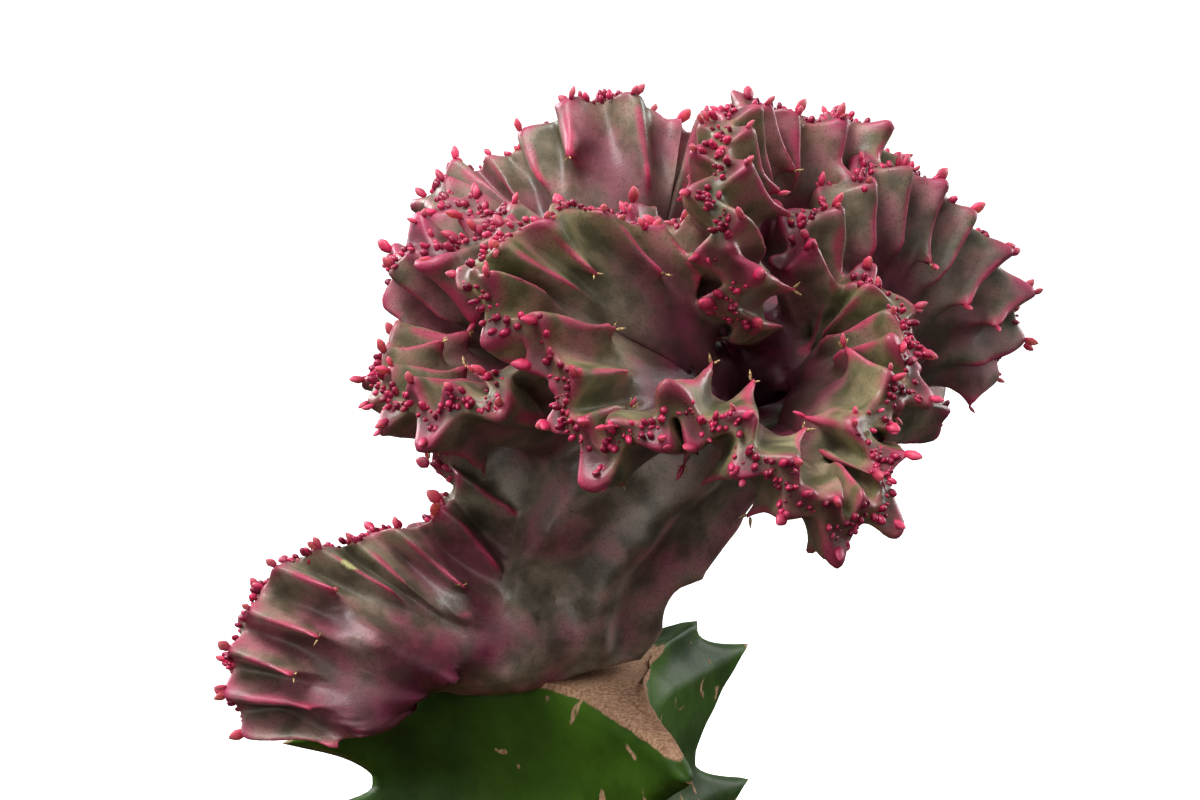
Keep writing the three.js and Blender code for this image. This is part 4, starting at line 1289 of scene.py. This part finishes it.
def soil_piece(material):
    """Potting mix: a lumpy plug with loose crumbs of bark and grit pressed into its top."""
    hole = STOCK["stub"] + 0.6
    wall = inside_radius(SOIL_TOP) - 0.3
    profile = [
        (0.5, 8.3), (inside_radius(8.3) - 4.8, 8.3), (inside_radius(12.8) - 0.3, 12.8),
        (inside_radius(60) - 0.3, 60), (wall, SOIL_TOP - 1.4),
    ]
    tops = [(wall - 0.6 + (hole - wall + 0.6) * share, SOIL_TOP - 1) for share in np.linspace(0, 1, 34)]
    profile += tops + [(hole, 80), (hole, 61.7), (0.5, 61.7)]
    turn = np.linspace(0, 2 * math.pi, 120, endpoint=False)
    radius = np.array([r for r, _ in profile])
    level = np.array([z for _, z in profile])
    points = np.stack(
        [
            np.cos(turn)[:, None] * radius, np.sin(turn)[:, None] * radius,
            np.broadcast_to(level, (len(turn), len(radius))),
        ],
        axis=-1,
    )
    first, last = len(profile) - len(tops) - 3, len(profile) - 3
    top = points[:, first + 1 : last - 1]
    top[..., 2] += 0.9 * lumps(top, 6, 21) + 0.5 * lumps(top, 2.2, 22) - 0.4
    faces = turned_faces(len(turn), len(profile))
    order = np.arange(CRUMBS)
    away = np.sqrt(between((hole + 1.5) ** 2, (wall - 2) ** 2, order, 91))
    around = 2 * math.pi * chance(order, 92)
    size = between(1.2, 4.2, order, 93) * between(0.6, 1, order, 94)
    roots = np.stack(
        [away * np.cos(around), away * np.sin(around), SOIL_TOP - 1.6 - size * 0.25], axis=-1
    )
    directions = np.stack(
        [between(-1, 1, order, 95), between(-1, 1, order, 96), between(0.4, 1, order, 97)], axis=-1
    )
    crumb = little_shape("crumb", 7, 5)
    roughened = crumb[0] + 0.1 * (chance(np.arange(len(crumb[0]))[:, None] * 3 + np.arange(3), 98) - 0.5)
    corners, crumb_faces, _ = copies_of(
        (roughened, crumb[1]), roots, directions, directions[:, [1, 2, 0]],
        size * between(0.5, 1, order, 99), size, size * between(0.4, 0.9, order, 100),
    )
    start = points.size // 3
    faces.extend(tuple(v + start for v in f) for f in crumb_faces)
    piece = mesh_object("potting_mix", np.concatenate([points.reshape(-1, 3), corners]), faces)
    closed_and_smooth(piece, FINE_MERGE)
    bpy.ops.object.shade_smooth_by_angle(angle=math.radians(35))
    return finish_piece(piece, material, "soil", "soil")


# Floor, lights and camera


def pale_floor():
    """A pale floor that takes the pot's shadow."""
    deselect()
    bpy.ops.mesh.primitive_plane_add(size=FLOOR_SIZE)
    floor = bpy.context.active_object
    floor.name = "floor"
    paper = Finish("pale_floor", Specular_IOR_Level=0.2, Emission_Strength=1)
    far = paper.distance_from((0, 0, 0)).between(*SHADOW_SHOWS)
    paper.feed("Emission Color", paper.mixed(far, (0, 0, 0), (1, 1, 1)))
    paper.feed("Base Color", paper.mixed(paper.noise(400), (0.6, 0.6, 0.6), (0.64, 0.64, 0.64)))
    paper.feed("Roughness", 0.7 + paper.noise(300) * 0.1)
    floor.data.materials.append(paper.material)
    floor.visible_diffuse = False
    floor.visible_glossy = False


def sky_and_lamps():
    """Soft light from above that the camera sees as plain white, and lamps that it doesn't see."""
    scene = bpy.context.scene
    scene.view_settings.view_transform = "Standard"
    scene.world = bpy.data.worlds.new("soft_studio")
    scene.world.use_nodes = True
    tree = scene.world.node_tree
    coordinates = tree.nodes.new("ShaderNodeTexCoord")
    direction = Value(tree, coordinates.outputs["Generated"])
    upward = add_node(tree, "ShaderNodeSeparateXYZ", (), 2, Vector=direction)
    sky = upward.between(-0.25, 0.9) * SKY["top"] + SKY["level"]
    seen = add_node(tree, "ShaderNodeLightPath")
    strength = sky + seen * (1 - sky)
    tree.links.new(strength.socket, tree.nodes["Background"].inputs["Strength"])
    tree.nodes["Background"].inputs["Color"].default_value = (1, 1, 1, 1)
    for name, (place, size, power) in LAMPS.items():
        data = bpy.data.lights.new(name, "AREA")
        data.size = size
        data.energy = power
        lamp = bpy.data.objects.new(name, data)
        scene.collection.objects.link(lamp)
        lamp.location = place
        lamp.visible_camera = False
        aim = Vector(VIEW_MIDDLE * MM) - lamp.location
        lamp.rotation_euler = aim.to_track_quat("-Z", "Y").to_euler()


def camera_at_view():
    scene = bpy.context.scene
    camera_data = bpy.data.cameras.new("camera")
    camera_data.lens = LENS
    camera_data.sensor_width = 36
    camera = bpy.data.objects.new("camera", camera_data)
    scene.collection.objects.link(camera)
    camera.location = Vector((VIEW_MIDDLE - AWAY * VIEW_DISTANCE) * MM)
    camera.rotation_euler = Euler((math.pi / 2 - VIEW_SLOPE, 0, 0))
    camera_data.clip_start = 0.01
    scene.camera = camera


pale_floor()
sky_and_lamps()
camera_at_view()
GROWN = {}
for number, (fold_name, fold_table) in enumerate(FOLDS.items()):
    fold_grid = fold_columns(fold_table, 31 * number + 1)
    GROWN[fold_name] = (fold_grid, *fold_surface(fold_grid, fold_table))
LEAF = little_shape("leaflet", 8, 6)
BUD = little_shape("bud", 7, 5)
SPINE = little_shape("spine", 5, 5)
pink = leaflet_finish()
crest_skin = skin_of(crest_piece(crest_finish()))
growth_lines(growth_finish(), BUD, crest_skin)
leaflets(pink, LEAF, crest_skin)
tooth_tips(pink, spine_finish(), LEAF, SPINE, crest_skin)
rootstock_piece(stock_finish())
pot_piece(clay_finish())
soil_piece(soil_finish())
deselect()
